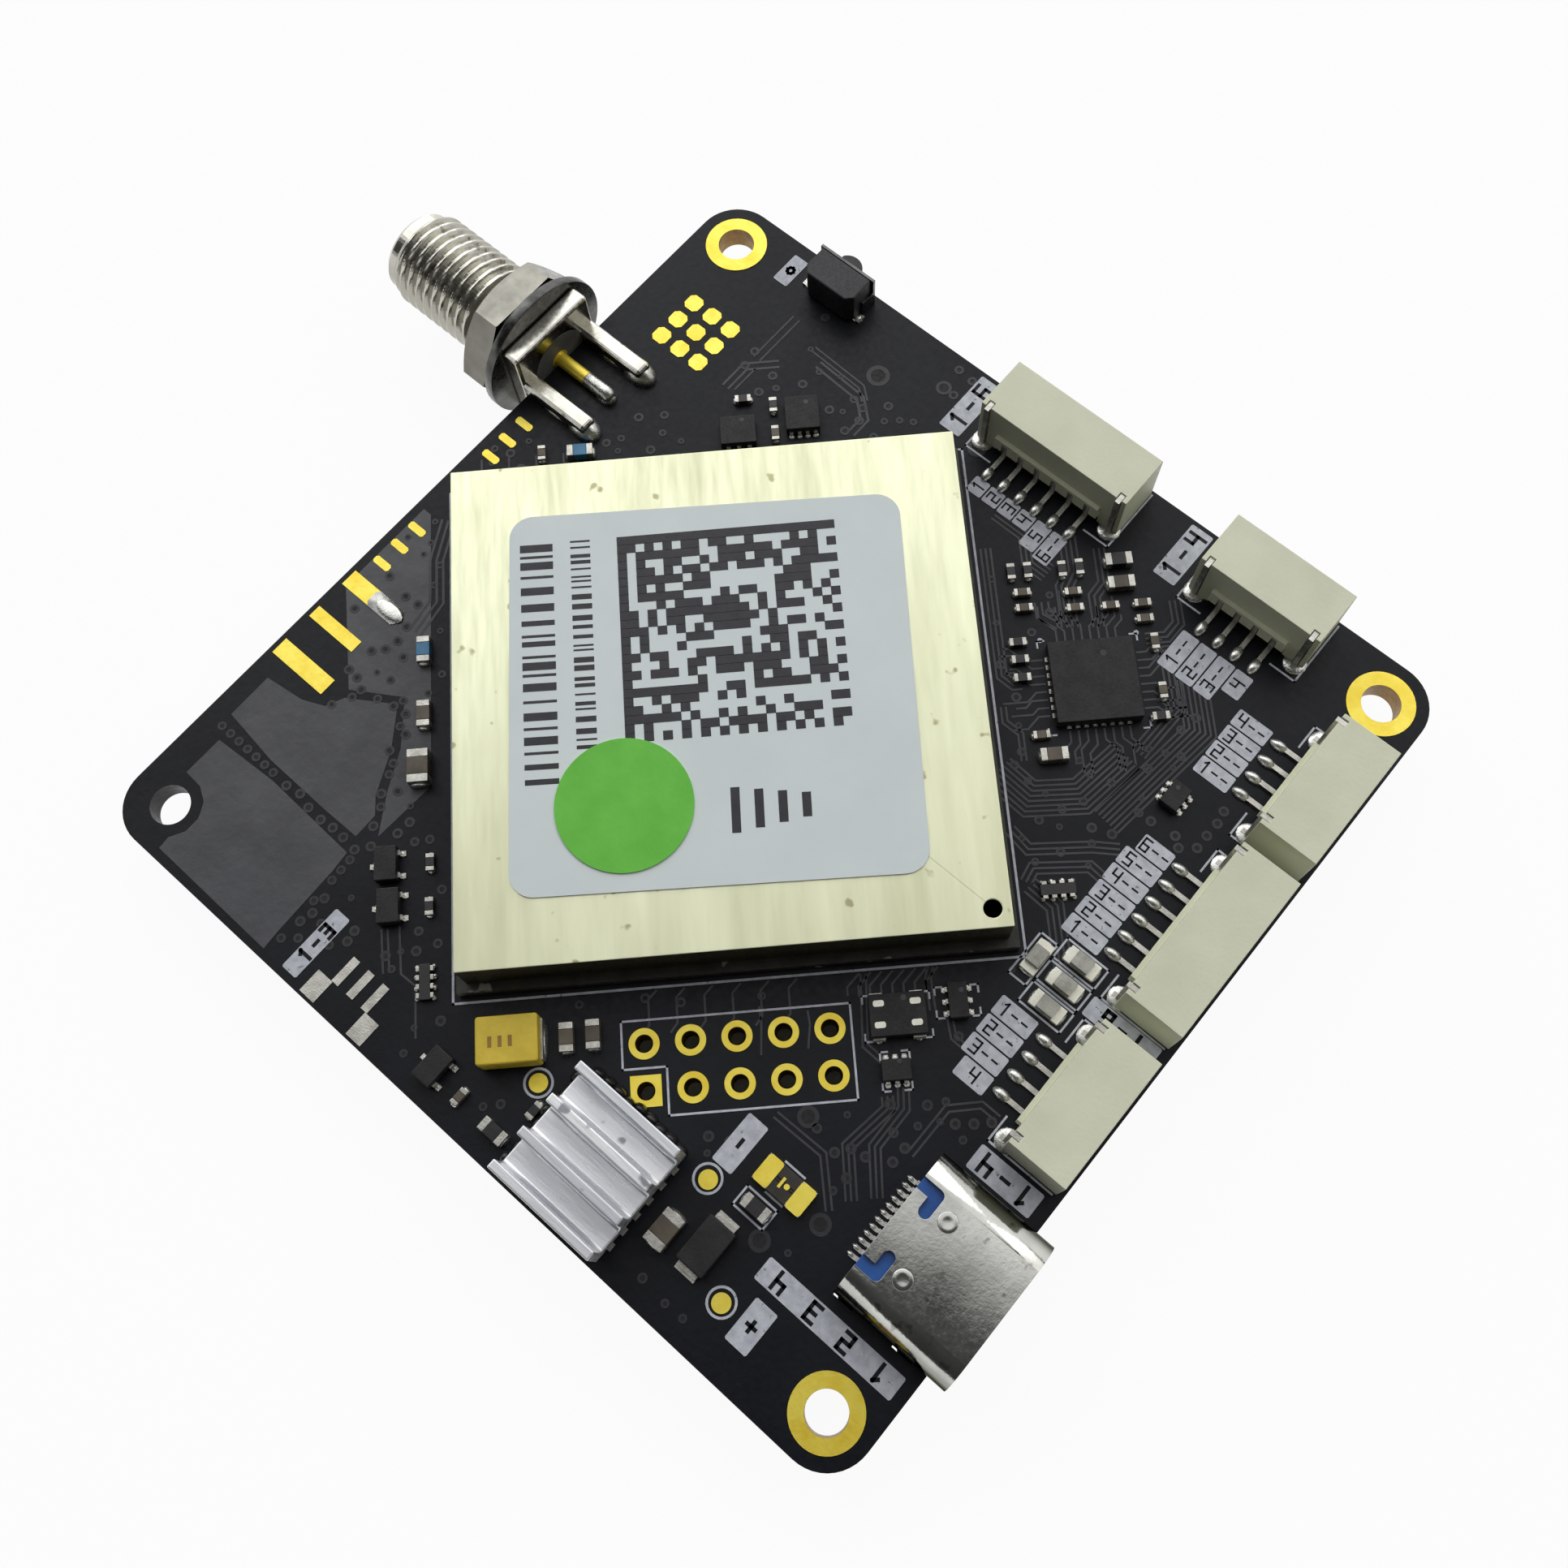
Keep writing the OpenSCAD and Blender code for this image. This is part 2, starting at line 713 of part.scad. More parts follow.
// Two solder tabs in the notches at the back corners
module wire_tabs(n) {
    w = housing_w(n);
    tab_h = housing_h - 0.1;
    tab_proud = 0.2;
    color(tin) for (side = [-1, 1]) {
        translate([side * (w / 2 - notch_from_end - notch_w / 2) - tab_t / 2, -housing_d - tab_proud, 0]) {
            cube([tab_t, notch_d + tab_proud, tab_h]);
            translate([0, -tab_foot_l, 0]) cube([tab_t, tab_foot_l + eps, tab_foot_t]);
        }
    }
}

module ethernet_housing() {
    on_upper_edge(ethernet_at) wire_housing(ethernet_n);
}

module serial_c_housing() {
    on_upper_edge(serial_c_at) wire_housing(serial_c_n);
}

module serial_b_housing() {
    on_right_edge(serial_b_at) wire_housing(serial_b_n);
}

module telemetry_housing() {
    on_right_edge(telemetry_at) wire_housing(telemetry_n);
}

module serial_a_housing() {
    on_right_edge(serial_a_at) wire_housing(serial_a_n);
}

module ethernet_contacts() {
    on_upper_edge(ethernet_at) wire_contacts(ethernet_n);
}

module serial_c_contacts() {
    on_upper_edge(serial_c_at) wire_contacts(serial_c_n);
}

module serial_b_contacts() {
    on_right_edge(serial_b_at) wire_contacts(serial_b_n);
}

module telemetry_contacts() {
    on_right_edge(telemetry_at) wire_contacts(telemetry_n);
}

module serial_a_contacts() {
    on_right_edge(serial_a_at) wire_contacts(serial_a_n);
}

module socket_solder_tabs() {
    on_upper_edge(ethernet_at) wire_tabs(ethernet_n);
    on_upper_edge(serial_c_at) wire_tabs(serial_c_n);
    on_right_edge(serial_b_at) wire_tabs(serial_b_n);
    on_right_edge(telemetry_at) wire_tabs(telemetry_n);
    on_right_edge(serial_a_at) wire_tabs(serial_a_n);
}

// USB socket, with its mouth at x = 0 and its back towards -X

module at_usb() {
    translate([edge + usb_overhang, usb_y, top]) children();
}

module usb_run(l) {
    translate([0, 0, usb_h / 2]) rotate([90, 0, -90]) linear_extrude(l) children();
}

module usb_outline(w, h) {
    rounded_square(w, h, h / 2 - eps);
}

module usb_shell() {
    inner_w = usb_w - 2 * usb_sheet;
    inner_h = usb_h - 2 * usb_sheet;
    color(nickel) union() {
        at_usb() difference() {
            usb_run(usb_l) usb_outline(usb_w, usb_h);
            translate([1, 0, 0]) usb_run(usb_l + 2) usb_outline(inner_w, inner_h);
            for (side = [-1, 1]) {
                translate([-usb_l, side * usb_notch_at, usb_h / 2]) linear_extrude(usb_h) union() {
                    translate([-1, -usb_notch_w / 2]) {
                        square([usb_notch_l + 1 - usb_notch_w / 2, usb_notch_w]);
                    }
                    translate([usb_notch_l - usb_notch_w / 2, 0]) circle(d = usb_notch_w);
                    translate([usb_notch_l - usb_notch_w, -usb_hook_l / 2 - side * usb_hook_l / 2]) {
                        square([usb_notch_w, usb_hook_l]);
                    }
                    translate([usb_notch_l - usb_notch_w / 2, -side * usb_hook_l]) circle(d = usb_notch_w);
                }
            }
        }
        usb_leg_places() translate([0, 0, -usb_leg_reach]) {
            box(usb_leg_w, usb_leg_t, top + usb_h / 2 + usb_leg_reach);
        }
    }
}

module usb_insulator() {
    back_w = usb_w - 2 * usb_sheet - 2 * seat;
    back_h = usb_h - 2 * usb_sheet - 2 * seat;
    color([0.10, 0.33, 0.66]) at_usb() union() {
        translate([-usb_l + usb_back_l, 0, 0]) usb_run(usb_back_l) usb_outline(back_w, back_h);
        translate([-usb_l + usb_back_l - eps, -tongue_w / 2, (usb_h - tongue_t) / 2]) {
            cube([tongue_l, tongue_w, tongue_t]);
        }
    }
}

module usb_contacts() {
    pad_l = 2.6;
    pad_t = 0.05;
    pad_x = -usb_l + usb_back_l + tongue_l - pad_l - 0.4;
    color(gold) at_usb() for (i = [0:usb_tail_count - 1]) {
        y = (i - (usb_tail_count - 1) / 2) * usb_pitch;
        translate([-usb_l - usb_tail_l, y - usb_tail_w / 2, 0]) cube([usb_tail_l, usb_tail_w, usb_tail_t]);
        translate([-usb_l - usb_tail_t, y - usb_tail_w / 2, usb_tail_t]) {
            cube([usb_tail_t, usb_tail_w, usb_h / 3]);
        }
        translate([pad_x, y - usb_tail_w / 2, (usb_h + tongue_t) / 2]) {
            cube([pad_l, usb_tail_w, pad_t]);
        }
    }
}

// Button, with its cover's front at y = 0 and its body towards -Y

module at_button() {
    button_setback = 0.45;
    translate([button_x, edge - button_setback, top]) children();
}

module button_body() {
    chamber_w = shoulder_w + 2 * plunger_clearance;
    chamber_h = shoulder_h + 2 * plunger_clearance;
    corner = 0.45;
    half_w = button_w / 2;
    rear = -cover_t - button_d;
    color([0.22, 0.23, 0.25]) at_button() difference() {
        translate([0, 0, button_floor]) linear_extrude(button_h - button_floor) polygon([
            [-half_w, -cover_t], [-half_w, rear + corner], [-half_w + corner, rear],
            [half_w - corner, rear], [half_w, rear + corner], [half_w, -cover_t],
        ]);
        translate([-chamber_w / 2, -cover_t - chamber_l, plunger_z - chamber_h / 2]) {
            cube([chamber_w, chamber_l + 1, chamber_h]);
        }
    }
}

module button_cover() {
    window_w = plunger_w + 2 * plunger_clearance;
    window_h = plunger_h + 2 * plunger_clearance;
    wing_h = 1.3;
    color(nickel) at_button() union() {
        difference() {
            translate([-button_w / 2 - cover_t, -cover_t, 0]) {
                cube([button_w + 2 * cover_t, cover_t, button_h]);
            }
            translate([-window_w / 2, -1, plunger_z - window_h / 2]) cube([window_w, 2, window_h]);
        }
        for (side = [-1, 1]) {
            translate([side * (button_w + cover_t) / 2 - cover_t / 2, -cover_t - cover_wing_l, 0]) {
                cube([cover_t, cover_wing_l + eps, wing_h]);
            }
        }
    }
}

module button_plunger() {
    back = -cover_t - plunger_clearance - shoulder_l;
    nose_r = 0.95;
    nose_y = plunger_reach - nose_r;
    color([0.20, 0.21, 0.24]) at_button() union() {
        translate([-shoulder_w / 2, back, plunger_z - shoulder_h / 2]) {
            cube([shoulder_w, shoulder_l, shoulder_h]);
        }
        translate([0, 0, plunger_z - plunger_h / 2]) linear_extrude(plunger_h) intersection() {
            translate([-plunger_w / 2, back]) square([plunger_w, plunger_reach - back]);
            union() {
                translate([0, nose_y]) circle(r = nose_r);
                translate([-plunger_w / 2, back]) square([plunger_w, nose_y - back + nose_r / 2]);
            }
        }
    }
}

module button_dome() {
    dome_r = min(shoulder_w, shoulder_h) / 2;
    color(nickel) at_button() translate([0, -cover_t - chamber_l + dome_t, plunger_z]) rotate([90, 0, 0]) {
        cylinder(r = dome_r, h = dome_t);
    }
}

module button_terminals() {
    foot_l = 0.75;
    foot_w = 0.6;
    foot_t = button_floor;
    foot_y = -cover_t - cover_wing_l - foot_w / 2 - 0.05;
    color(tin) at_button() for (side = [-1, 1]) {
        translate([side * (button_w / 2 + foot_l / 2 - 0.35) - foot_l / 2, foot_y - foot_w / 2, 0]) {
            cube([foot_l, foot_w, foot_t]);
        }
    }
}

// Heat sink over its regulator chip

module at_sink(z) {
    translate([sink_x, sink_y, z]) children();
}

module heatsink() {
    color([0.80, 0.82, 0.86]) at_sink(sink_z) rotate([90, 0, 90]) translate([0, 0, -sink_size / 2]) {
        linear_extrude(sink_size) difference() {
            translate([-sink_size / 2, 0]) square([sink_size, sink_base_t + fin_h]);
            for (i = [0:fin_count - 2]) {
                translate([-sink_size / 2 + fin_t + i * (fin_t + channel_w), sink_base_t]) union() {
                    translate([0, fin_root_r]) square([channel_w, fin_h]);
                    translate([fin_root_r, 0]) square([channel_w - 2 * fin_root_r, fin_h]);
                    for (x = [fin_root_r, channel_w - fin_root_r]) {
                        translate([x, fin_root_r]) circle(r = fin_root_r);
                    }
                }
            }
        }
    }
}

module thermal_pad() {
    color([0.55, 0.56, 0.60]) at_sink(top + regulator_h) box(regulator_size, regulator_size, thermal_pad_t);
}

module regulator_chip() {
    color(charcoal) at_sink(top) box(regulator_size, regulator_size, regulator_h);
}

module regulator_leads() {
    lead_n = 6;
    lead_w = 0.45;
    lead_l = 0.5;
    lead_t = 0.2;
    lead_pitch = 1.0;
    color(tin) at_sink(top) for (side = [-1, 1], i = [0:lead_n - 1]) {
        translate([side * (regulator_size + lead_l) / 2, (i - (lead_n - 1) / 2) * lead_pitch, 0]) {
            box(lead_l, lead_w, lead_t);
        }
    }
}

// Small parts

module at_tantalum() {
    beside_module(3, 2.8, -12.6, 90) children();
}

module tantalum_body() {
    body_z = 0.1;
    color([0.78, 0.65, 0.24]) at_tantalum() translate([0, 0, body_z]) {
        box(tantalum_l, tantalum_w, tantalum_h - body_z);
    }
}

module tantalum_terminals() {
    strap_w = 2.2;
    strap_t = 0.1;
    strap_h = 1.0;
    strap_l = 0.8;
    color(tin) at_tantalum() for (side = [-1, 1]) {
        translate([side * (tantalum_l + strap_t) / 2, 0, 0]) box(strap_t, strap_w, strap_h);
        translate([side * (tantalum_l / 2 + strap_t - strap_l / 2), 0, 0]) box(strap_l, strap_w, strap_t);
    }
}

module at_network_chip() {
    beside_module(0, 6.25, -0.25) children();
}

module network_chip() {
    standoff = 0.05;
    color(charcoal) at_network_chip() translate([0, 0, standoff]) {
        box(network_size, network_size, network_h - standoff);
    }
}

module network_chip_pads() {
    pad_n = 8;
    pad_w = 0.28;
    pad_l = 0.55;
    pad_t = 0.05;
    pad_pitch = 0.5;
    color(tin) at_network_chip() for (side = [0:3], i = [0:pad_n - 1]) {
        rotate([0, 0, 90 * side]) translate([network_size / 2 - 0.15, (i - (pad_n - 1) / 2) * pad_pitch, 0]) {
            box(pad_l, pad_w, pad_t);
        }
    }
}

// A small leaded chip: body size, leads on each of the two long sides, reach of the leads
module gull_body(size) {
    lift = 0.08;
    color(charcoal) translate([0, 0, lift]) box(size[0], size[1], size[2] - lift);
}

module gull_leads(size, xs_low, xs_high, lead_w = 0.3, lead_l = 0.4) {
    lead_t = 0.12;
    knee = size[2] / 2;
    color(tin) for (side = [-1, 1]) {
        for (x = side < 0 ? xs_low : xs_high) {
            translate([x, side * (size[1] / 2 + lead_l / 2), 0]) box(lead_w, lead_l, lead_t);
            translate([x, side * (size[1] / 2 + lead_t / 2), 0]) box(lead_w, lead_t, knee);
        }
    }
}

amplifier = [2.2, 1.9, 0.75];
memory = [2.1, 2.3, 0.75];
filter = [3.1, 2.3, 1.0];
switch_six = [1.6, 1.15, 0.7];
driver_six = [2.0, 1.05, 0.75];
transistor = [2.0, 1.25, 0.85];
three = [-0.65, 0, 0.65];
close_three = [-0.5, 0, 0.5];
four = [-0.75, -0.25, 0.25, 0.75];
wide_pair = [-1.1, 1.1];

// Small chips: side of the module, distance out, place along, turn; then the two that stand by the edges
module at_amplifier() {
    beside_module(1, 2.65, -2.15, -90) children();
}

module at_memory() {
    beside_module(1, 3.5, -6.2, -90) children();
}

module at_filter() {
    beside_module(3, 3.05, 8.45, 90) children();
}

module at_switch_six() {
    beside_module(3, 5.95, 8.1, 90) children();
}

module at_driver_six() {
    beside_module(3, 2.5, 11.8) children();
}

module at_guard_six() {
    near_right_edge(8.5, 12.55, 90) children();
}

module small_chip_bodies() {
    at_amplifier() gull_body(amplifier);
    at_memory() gull_body(memory);
    at_filter() gull_body(filter);
    at_switch_six() gull_body(switch_six);
    at_driver_six() gull_body(driver_six);
    at_guard_six() gull_body(switch_six);
}

module small_chip_leads() {
    at_amplifier() gull_leads(amplifier, three, three, 0.25, 0.3);
    at_memory() gull_leads(memory, four, four, 0.22, 0.3);
    at_filter() gull_leads(filter, wide_pair, wide_pair, 0.7, 0.15);
    at_switch_six() gull_leads(switch_six, close_three, close_three, 0.24, 0.3);
    at_driver_six() gull_leads(driver_six, three, three, 0.26, 0.3);
    at_guard_six() gull_leads(switch_six, close_three, close_three, 0.24, 0.3);
}

module at_transistors() {
    beside_module(2, 4, 7.7, 90) children();
    beside_module(2, 3.85, 10.15, 90) children();
    near_low_edge([-2.45, 2.1], -90) children();
}

module transistor_bodies() {
    at_transistors() gull_body(transistor);
}

module transistor_leads() {
    at_transistors() gull_leads(transistor, [0], [-0.65, 0.65]);
}

module at_lamps() {
    lamp_step = 1.55;
    near_right_edge(8.85, 0.3, 90) children();
    for (i = [-1:1]) near_right_edge(6.75, 0.05 + i * lamp_step) children();
}

module lamp_bodies() {
    base_h = lamp_h / 2;
    lens_l = lamp_l * 0.55;
    color([0.90, 0.90, 0.82]) at_lamps() union() {
        box(lamp_l - 2 * cap_share * lamp_l, lamp_w, base_h);
        translate([0, 0, base_h - eps]) box(lens_l, lamp_w * 0.86, lamp_h - base_h + eps);
    }
}

module lamp_terminals() {
    cap_l = cap_share * lamp_l;
    color(tin) at_lamps() for (side = [-1, 1]) {
        translate([side * (lamp_l - cap_l) / 2, 0, 0]) box(cap_l, lamp_w, lamp_h / 2);
    }
}

module chip_body(size) {
    box(size[0] * (1 - 2 * cap_share), size[1], size[2]);
}

module chip_caps(size) {
    cap_l = size[0] * cap_share;
    for (side = [-1, 1]) {
        translate([side * (size[0] - cap_l) / 2, 0, 0]) box(cap_l, size[1], size[2]);
    }
}

// Kind 0 is a chip part's body and kind 1 its two end caps
module chip_form(kind, size) {
    if (kind == 0) chip_body(size);
    else chip_caps(size);
}

module chips_beside(side, list, kind) {
    for (p = list) beside_module(side, p[0], p[1], p[2]) chip_form(kind, p[3]);
}

module chips_low_edge(list, kind) {
    for (p = list) near_low_edge([p[0], p[1]], p[2]) chip_form(kind, p[3]);
}

module capacitors(kind) {
    chips_beside(0, right_capacitors, kind);
    chips_beside(1, upper_capacitors, kind);
    chips_beside(2, left_capacitors, kind);
    chips_beside(3, lower_capacitors, kind);
    chips_low_edge(low_edge_capacitors, kind);
}

module capacitor_bodies() {
    color([0.42, 0.38, 0.32]) capacitors(0);
}

module capacitor_terminals() {
    color(tin) capacitors(1);
}

module resistors(kind) {
    chips_beside(0, right_resistors, kind);
    chips_beside(1, upper_resistors, kind);
    chips_beside(2, left_resistors, kind);
    chips_low_edge(low_edge_resistors, kind);
}

module at_arrays() {
    beside_module(0, 2.55, -12.3) children();
    beside_module(2, 1.85, 14.55, 90) children();
}

module resistor_bodies() {
    color(charcoal) {
        resistors(0);
        at_arrays() box(array_l, array_w - 2 * array_pad, array_h);
    }
}

module resistor_terminals() {
    pad_w = 0.3;
    array_pitch = 0.5;
    color(tin) {
        resistors(1);
        at_arrays() for (side = [-1, 1], i = [0:array_n - 1]) {
            translate([(i - (array_n - 1) / 2) * array_pitch, side * (array_w - array_pad) / 2, 0]) {
                box(pad_w, array_pad, array_h);
            }
        }
    }
}

module at_inductors() {
    beside_module(1, 2.2, 7.7, 90) children();
    beside_module(2, 1.9, -5.25, 90) children();
}

module inductor_bodies() {
    color([0.16, 0.36, 0.55]) at_inductors() chip_body(chip_m);
}

module inductor_terminals() {
    color(tin) at_inductors() chip_caps(chip_m);
}

module fuse_outline() {
    difference() {
        square([fuse_l, fuse_w], center = true);
        for (side = [-1, 1]) translate([side * fuse_l / 2, 0]) circle(d = fuse_scallop_d);
    }
}

module fuse_body() {
    color([0.15, 0.13, 0.11]) near_low_edge(fuse_place) linear_extrude(fuse_h) fuse_outline();
}

module diode_body() {
    color([0.19, 0.19, 0.20]) near_low_edge(diode_place, 90) box(diode_l, diode_w, diode_h);
}

module power_input_terminals() {
    lead_z = diode_h * 0.4;
    lead_w = diode_w * 0.75;
    color(gold) near_low_edge(fuse_place) translate([0, 0, fuse_h]) linear_extrude(fuse_cap_t) {
        intersection() {
            fuse_outline();
            for (side = [-1, 1]) {
                translate([side * (fuse_l - fuse_cap_l) / 2, 0]) square([fuse_cap_l, fuse_w], center = true);
            }
        }
    }
    color(tin) near_low_edge(diode_place, 90) for (side = [-1, 1]) {
        translate([side * (diode_l + diode_lead_t) / 2, 0, 0]) box(diode_lead_t, lead_w, lead_z);
        translate([side * (diode_l + diode_lead_l) / 2, 0, 0]) box(diode_lead_l, lead_w, diode_lead_t / 2);
    }
}

pcb();
mounting_rings();
header_pads();
antenna_pads();
test_pads();
spare_socket_pads();
module_carrier();
shield_can();
module_label();
inspection_sticker();
receiver_chip();
radio_chip();
reference_oscillator();
coax_body();
coax_nut();
coax_washer();
coax_insulator();
coax_center_pin();
ethernet_housing();
serial_c_housing();
serial_b_housing();
telemetry_housing();
serial_a_housing();
ethernet_contacts();
serial_c_contacts();
serial_b_contacts();
telemetry_contacts();
serial_a_contacts();
socket_solder_tabs();
usb_shell();
usb_insulator();
usb_contacts();
button_body();
button_cover();
button_plunger();
button_dome();
button_terminals();
heatsink();
thermal_pad();
regulator_chip();
regulator_leads();
tantalum_body();
tantalum_terminals();
network_chip();
network_chip_pads();
small_chip_bodies();
small_chip_leads();
transistor_bodies();
transistor_leads();
lamp_bodies();
lamp_terminals();
capacitor_bodies();
capacitor_terminals();
resistor_bodies();
resistor_terminals();
inductor_bodies();
inductor_terminals();
fuse_body();
diode_body();
power_input_terminals();
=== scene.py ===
import json
import math
import random

import bmesh
import bpy
from mathutils import Matrix, Vector


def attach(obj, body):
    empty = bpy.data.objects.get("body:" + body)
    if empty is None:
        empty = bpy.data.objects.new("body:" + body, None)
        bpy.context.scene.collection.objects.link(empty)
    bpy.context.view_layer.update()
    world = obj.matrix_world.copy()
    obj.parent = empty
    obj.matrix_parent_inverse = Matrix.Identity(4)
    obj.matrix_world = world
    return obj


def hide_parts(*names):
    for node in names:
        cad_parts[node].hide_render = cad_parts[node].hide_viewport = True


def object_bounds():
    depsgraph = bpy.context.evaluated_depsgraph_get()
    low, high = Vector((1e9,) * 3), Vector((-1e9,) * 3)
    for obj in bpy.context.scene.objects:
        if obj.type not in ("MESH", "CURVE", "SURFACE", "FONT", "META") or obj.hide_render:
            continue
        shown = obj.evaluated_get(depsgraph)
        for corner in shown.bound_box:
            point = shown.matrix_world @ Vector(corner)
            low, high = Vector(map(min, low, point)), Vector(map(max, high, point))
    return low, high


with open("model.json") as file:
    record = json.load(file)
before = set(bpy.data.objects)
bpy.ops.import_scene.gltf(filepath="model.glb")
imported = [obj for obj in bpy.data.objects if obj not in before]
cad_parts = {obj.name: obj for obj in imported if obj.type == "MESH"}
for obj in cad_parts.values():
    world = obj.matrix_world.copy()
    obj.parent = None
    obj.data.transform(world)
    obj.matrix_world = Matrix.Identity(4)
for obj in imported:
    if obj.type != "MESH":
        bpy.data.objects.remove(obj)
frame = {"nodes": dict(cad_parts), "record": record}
cad_low, cad_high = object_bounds()
nodes = frame["nodes"]
scene = bpy.context.scene

MM = 0.001
BODY = "board"
HALF = math.sqrt(0.5)

# Places on the object, in millimetres
TOP = 1.6  # upper face of the board
EDGE = 27.6  # edges of the board, from its middle
HOLE = 24.85  # mounting holes, from its middle in X and in Y
MODULE_X = -4.15  # middle of the receiver module
MODULE_TURN = math.radians(45)
LABEL_TOP = 5.7
COAX_Y, COAX_Z = 11.1, 2.1  # axis of the coaxial socket
LEG_Y, LEG_SIZE = 2.55, 1.15  # its legs, from the axis
USB_Y, SHELL_TOP = -15.75, 4.8
SOCKET_PITCH = 1.25
FUSE = (16.05, -17.85)
NETWORK_CHIP = (21.75, -0.25)  # in the module's axes
FILTER = (8.45, -18.55)  # in the module's axes


# Materials

def new_material(name):
    material = bpy.data.materials.new(name)
    material.use_nodes = True
    tree = material.node_tree
    return material, tree, tree.nodes["Principled BSDF"]


def add(tree, kind, **values):
    """A new shader node, with values for its settings or its sockets."""
    node = tree.nodes.new(kind)
    for key, value in values.items():
        if hasattr(node, key):
            setattr(node, key, value)
        else:
            node.inputs[key.replace("_", " ")].default_value = value
    return node


def link(source, target):
    """Joins two sockets of one tree."""
    target.id_data.links.new(source, target)


def place(tree, stretch, turn):
    """Object coordinates, stretched and turned about Z."""
    coords = add(tree, "ShaderNodeTexCoord")
    mapping = add(tree, "ShaderNodeMapping", vector_type="TEXTURE", Rotation=(0, 0, math.radians(turn)), Scale=stretch)
    link(coords.outputs["Object"], mapping.inputs["Vector"])
    return mapping.outputs["Vector"]


def noise(tree, vector, scale, detail=4.0, roughness=0.55):
    texture = add(tree, "ShaderNodeTexNoise", Scale=scale, Detail=detail, Roughness=roughness)
    link(vector, texture.inputs["Vector"])
    return texture.outputs["Fac"]


def ramp(tree, value, stops):
    node = add(tree, "ShaderNodeValToRGB")
    elements = node.color_ramp.elements
    while len(elements) < len(stops):
        elements.new(0.5)
    for element, (at, colour) in zip(elements, stops):
        element.position = at
        element.color = (*colour, 1.0)
    link(value, node.inputs["Fac"])
    return node.outputs["Color"]


def grey(value):
    return (value, value, value)


def maths(tree, operation, *values):
    """The result of a maths node on numbers and sockets."""
    node = add(tree, "ShaderNodeMath", operation=operation)
    for socket, value in zip(node.inputs, values):
        if isinstance(value, float):
            socket.default_value = value
        else:
            link(value, socket)
    return node.outputs[0]


def blend(tree, share, first, second):
    """Lays a second colour over a first one, by a share."""
    mix = add(tree, "ShaderNodeMix", data_type="RGBA")
    link(share, mix.inputs[0])
    link(first, mix.inputs[6])
    mix.inputs[7].default_value = (*second, 1.0)
    return mix.outputs[2]


def spotted(tree, colour, spot_colour, scale, start):
    """Lays small spots of a second colour over a colour, where fine noise is above start."""
    spots = noise(tree, place(tree, (1, 1, 1), 0.0), scale, 2.0)
    share = ramp(tree, spots, [(start, grey(0.0)), (start + 0.05, grey(1.0))])
    return blend(tree, share, colour, spot_colour)


def surface(name, low, high, scale, rough, metallic=0.0, bump=0.3, fine=None, stretch=(1, 1, 1), turn=0.0,
            specular=0.5, coat=0.0, spots=None):
    """A procedural surface: colour and roughness drift over noise of the given scale, with a fine bump."""
    material, tree, bsdf = new_material(name)
    vector = place(tree, stretch, turn)
    drift = noise(tree, vector, scale)
    grain = noise(tree, vector, fine or scale * 6, 3.0)
    colour = ramp(tree, drift, [(0.32, low), (0.68, high)])
    if spots:
        colour = spotted(tree, colour, *spots)
    link(colour, bsdf.inputs["Base Color"])
    link(ramp(tree, grain, [(0.3, grey(rough[0])), (0.7, grey(rough[1]))]), bsdf.inputs["Roughness"])
    for key, value in (("Metallic", metallic), ("Specular IOR Level", specular), ("Coat Weight", coat)):
        bsdf.inputs[key].default_value = value
    if bump:
        node = add(tree, "ShaderNodeBump", Strength=bump, Distance=0.00004)
        link(grain, node.inputs["Height"])
        link(node.outputs["Normal"], bsdf.inputs["Normal"])
    return material


def paint_side_shade(material, colour):
    """Paints shade on the upright faces of a sheet part, as a second, darker colour."""
    tree = material.node_tree
    bsdf = tree.nodes["Principled BSDF"]
    facing = add(tree, "ShaderNodeSeparateXYZ")
    link(add(tree, "ShaderNodeNewGeometry").outputs["Normal"], facing.inputs[0])
    upright = ramp(tree, facing.outputs["Z"], [(0.25, grey(1.0)), (0.8, grey(0.0))])
    base = bsdf.inputs["Base Color"]
    link(blend(tree, upright, base.links[0].from_socket, colour), base)


def crowned(material, centre, bend, edge_tint):
    """Lets a pressed sheet reflect as if it were slightly round across Y, with duller edges."""
    tree = material.node_tree
    bsdf = tree.nodes["Principled BSDF"]
    across = add(tree, "ShaderNodeSeparateXYZ")
    link(add(tree, "ShaderNodeTexCoord").outputs["Object"], across.inputs[0])
    offset = maths(tree, "SUBTRACT", across.outputs["Y"], centre)
    height = maths(tree, "MULTIPLY", offset, maths(tree, "MULTIPLY", offset, -bend))
    crown = add(tree, "ShaderNodeBump", Strength=1.0, Distance=1.0)
    link(height, crown.inputs["Height"])
    grain = bsdf.inputs["Normal"].links[0].from_node
    link(crown.outputs["Normal"], grain.inputs["Normal"])
    bsdf.inputs["Specular Tint"].default_value = (*edge_tint, 1.0)


mask = surface("solder_mask", (0.0040, 0.0048, 0.0075), (0.0085, 0.0098, 0.0140), 160, (0.3, 0.46),
               fine=2600, specular=0.2)
# Copper traces under the mask: their own tone, made lighter to paint the highlight along their edges.
grey_tone_and_painted_highlight = surface("mask_over_copper_and_painted_highlight", (0.026, 0.027, 0.032), (0.052, 0.053, 0.060), 400, (0.3, 0.45),
                      fine=2600, specular=0.4)
mask_ring = surface("mask_over_ring", (0.015, 0.016, 0.019), (0.030, 0.031, 0.036), 400, (0.3, 0.45),
                    fine=2600, specular=0.4)
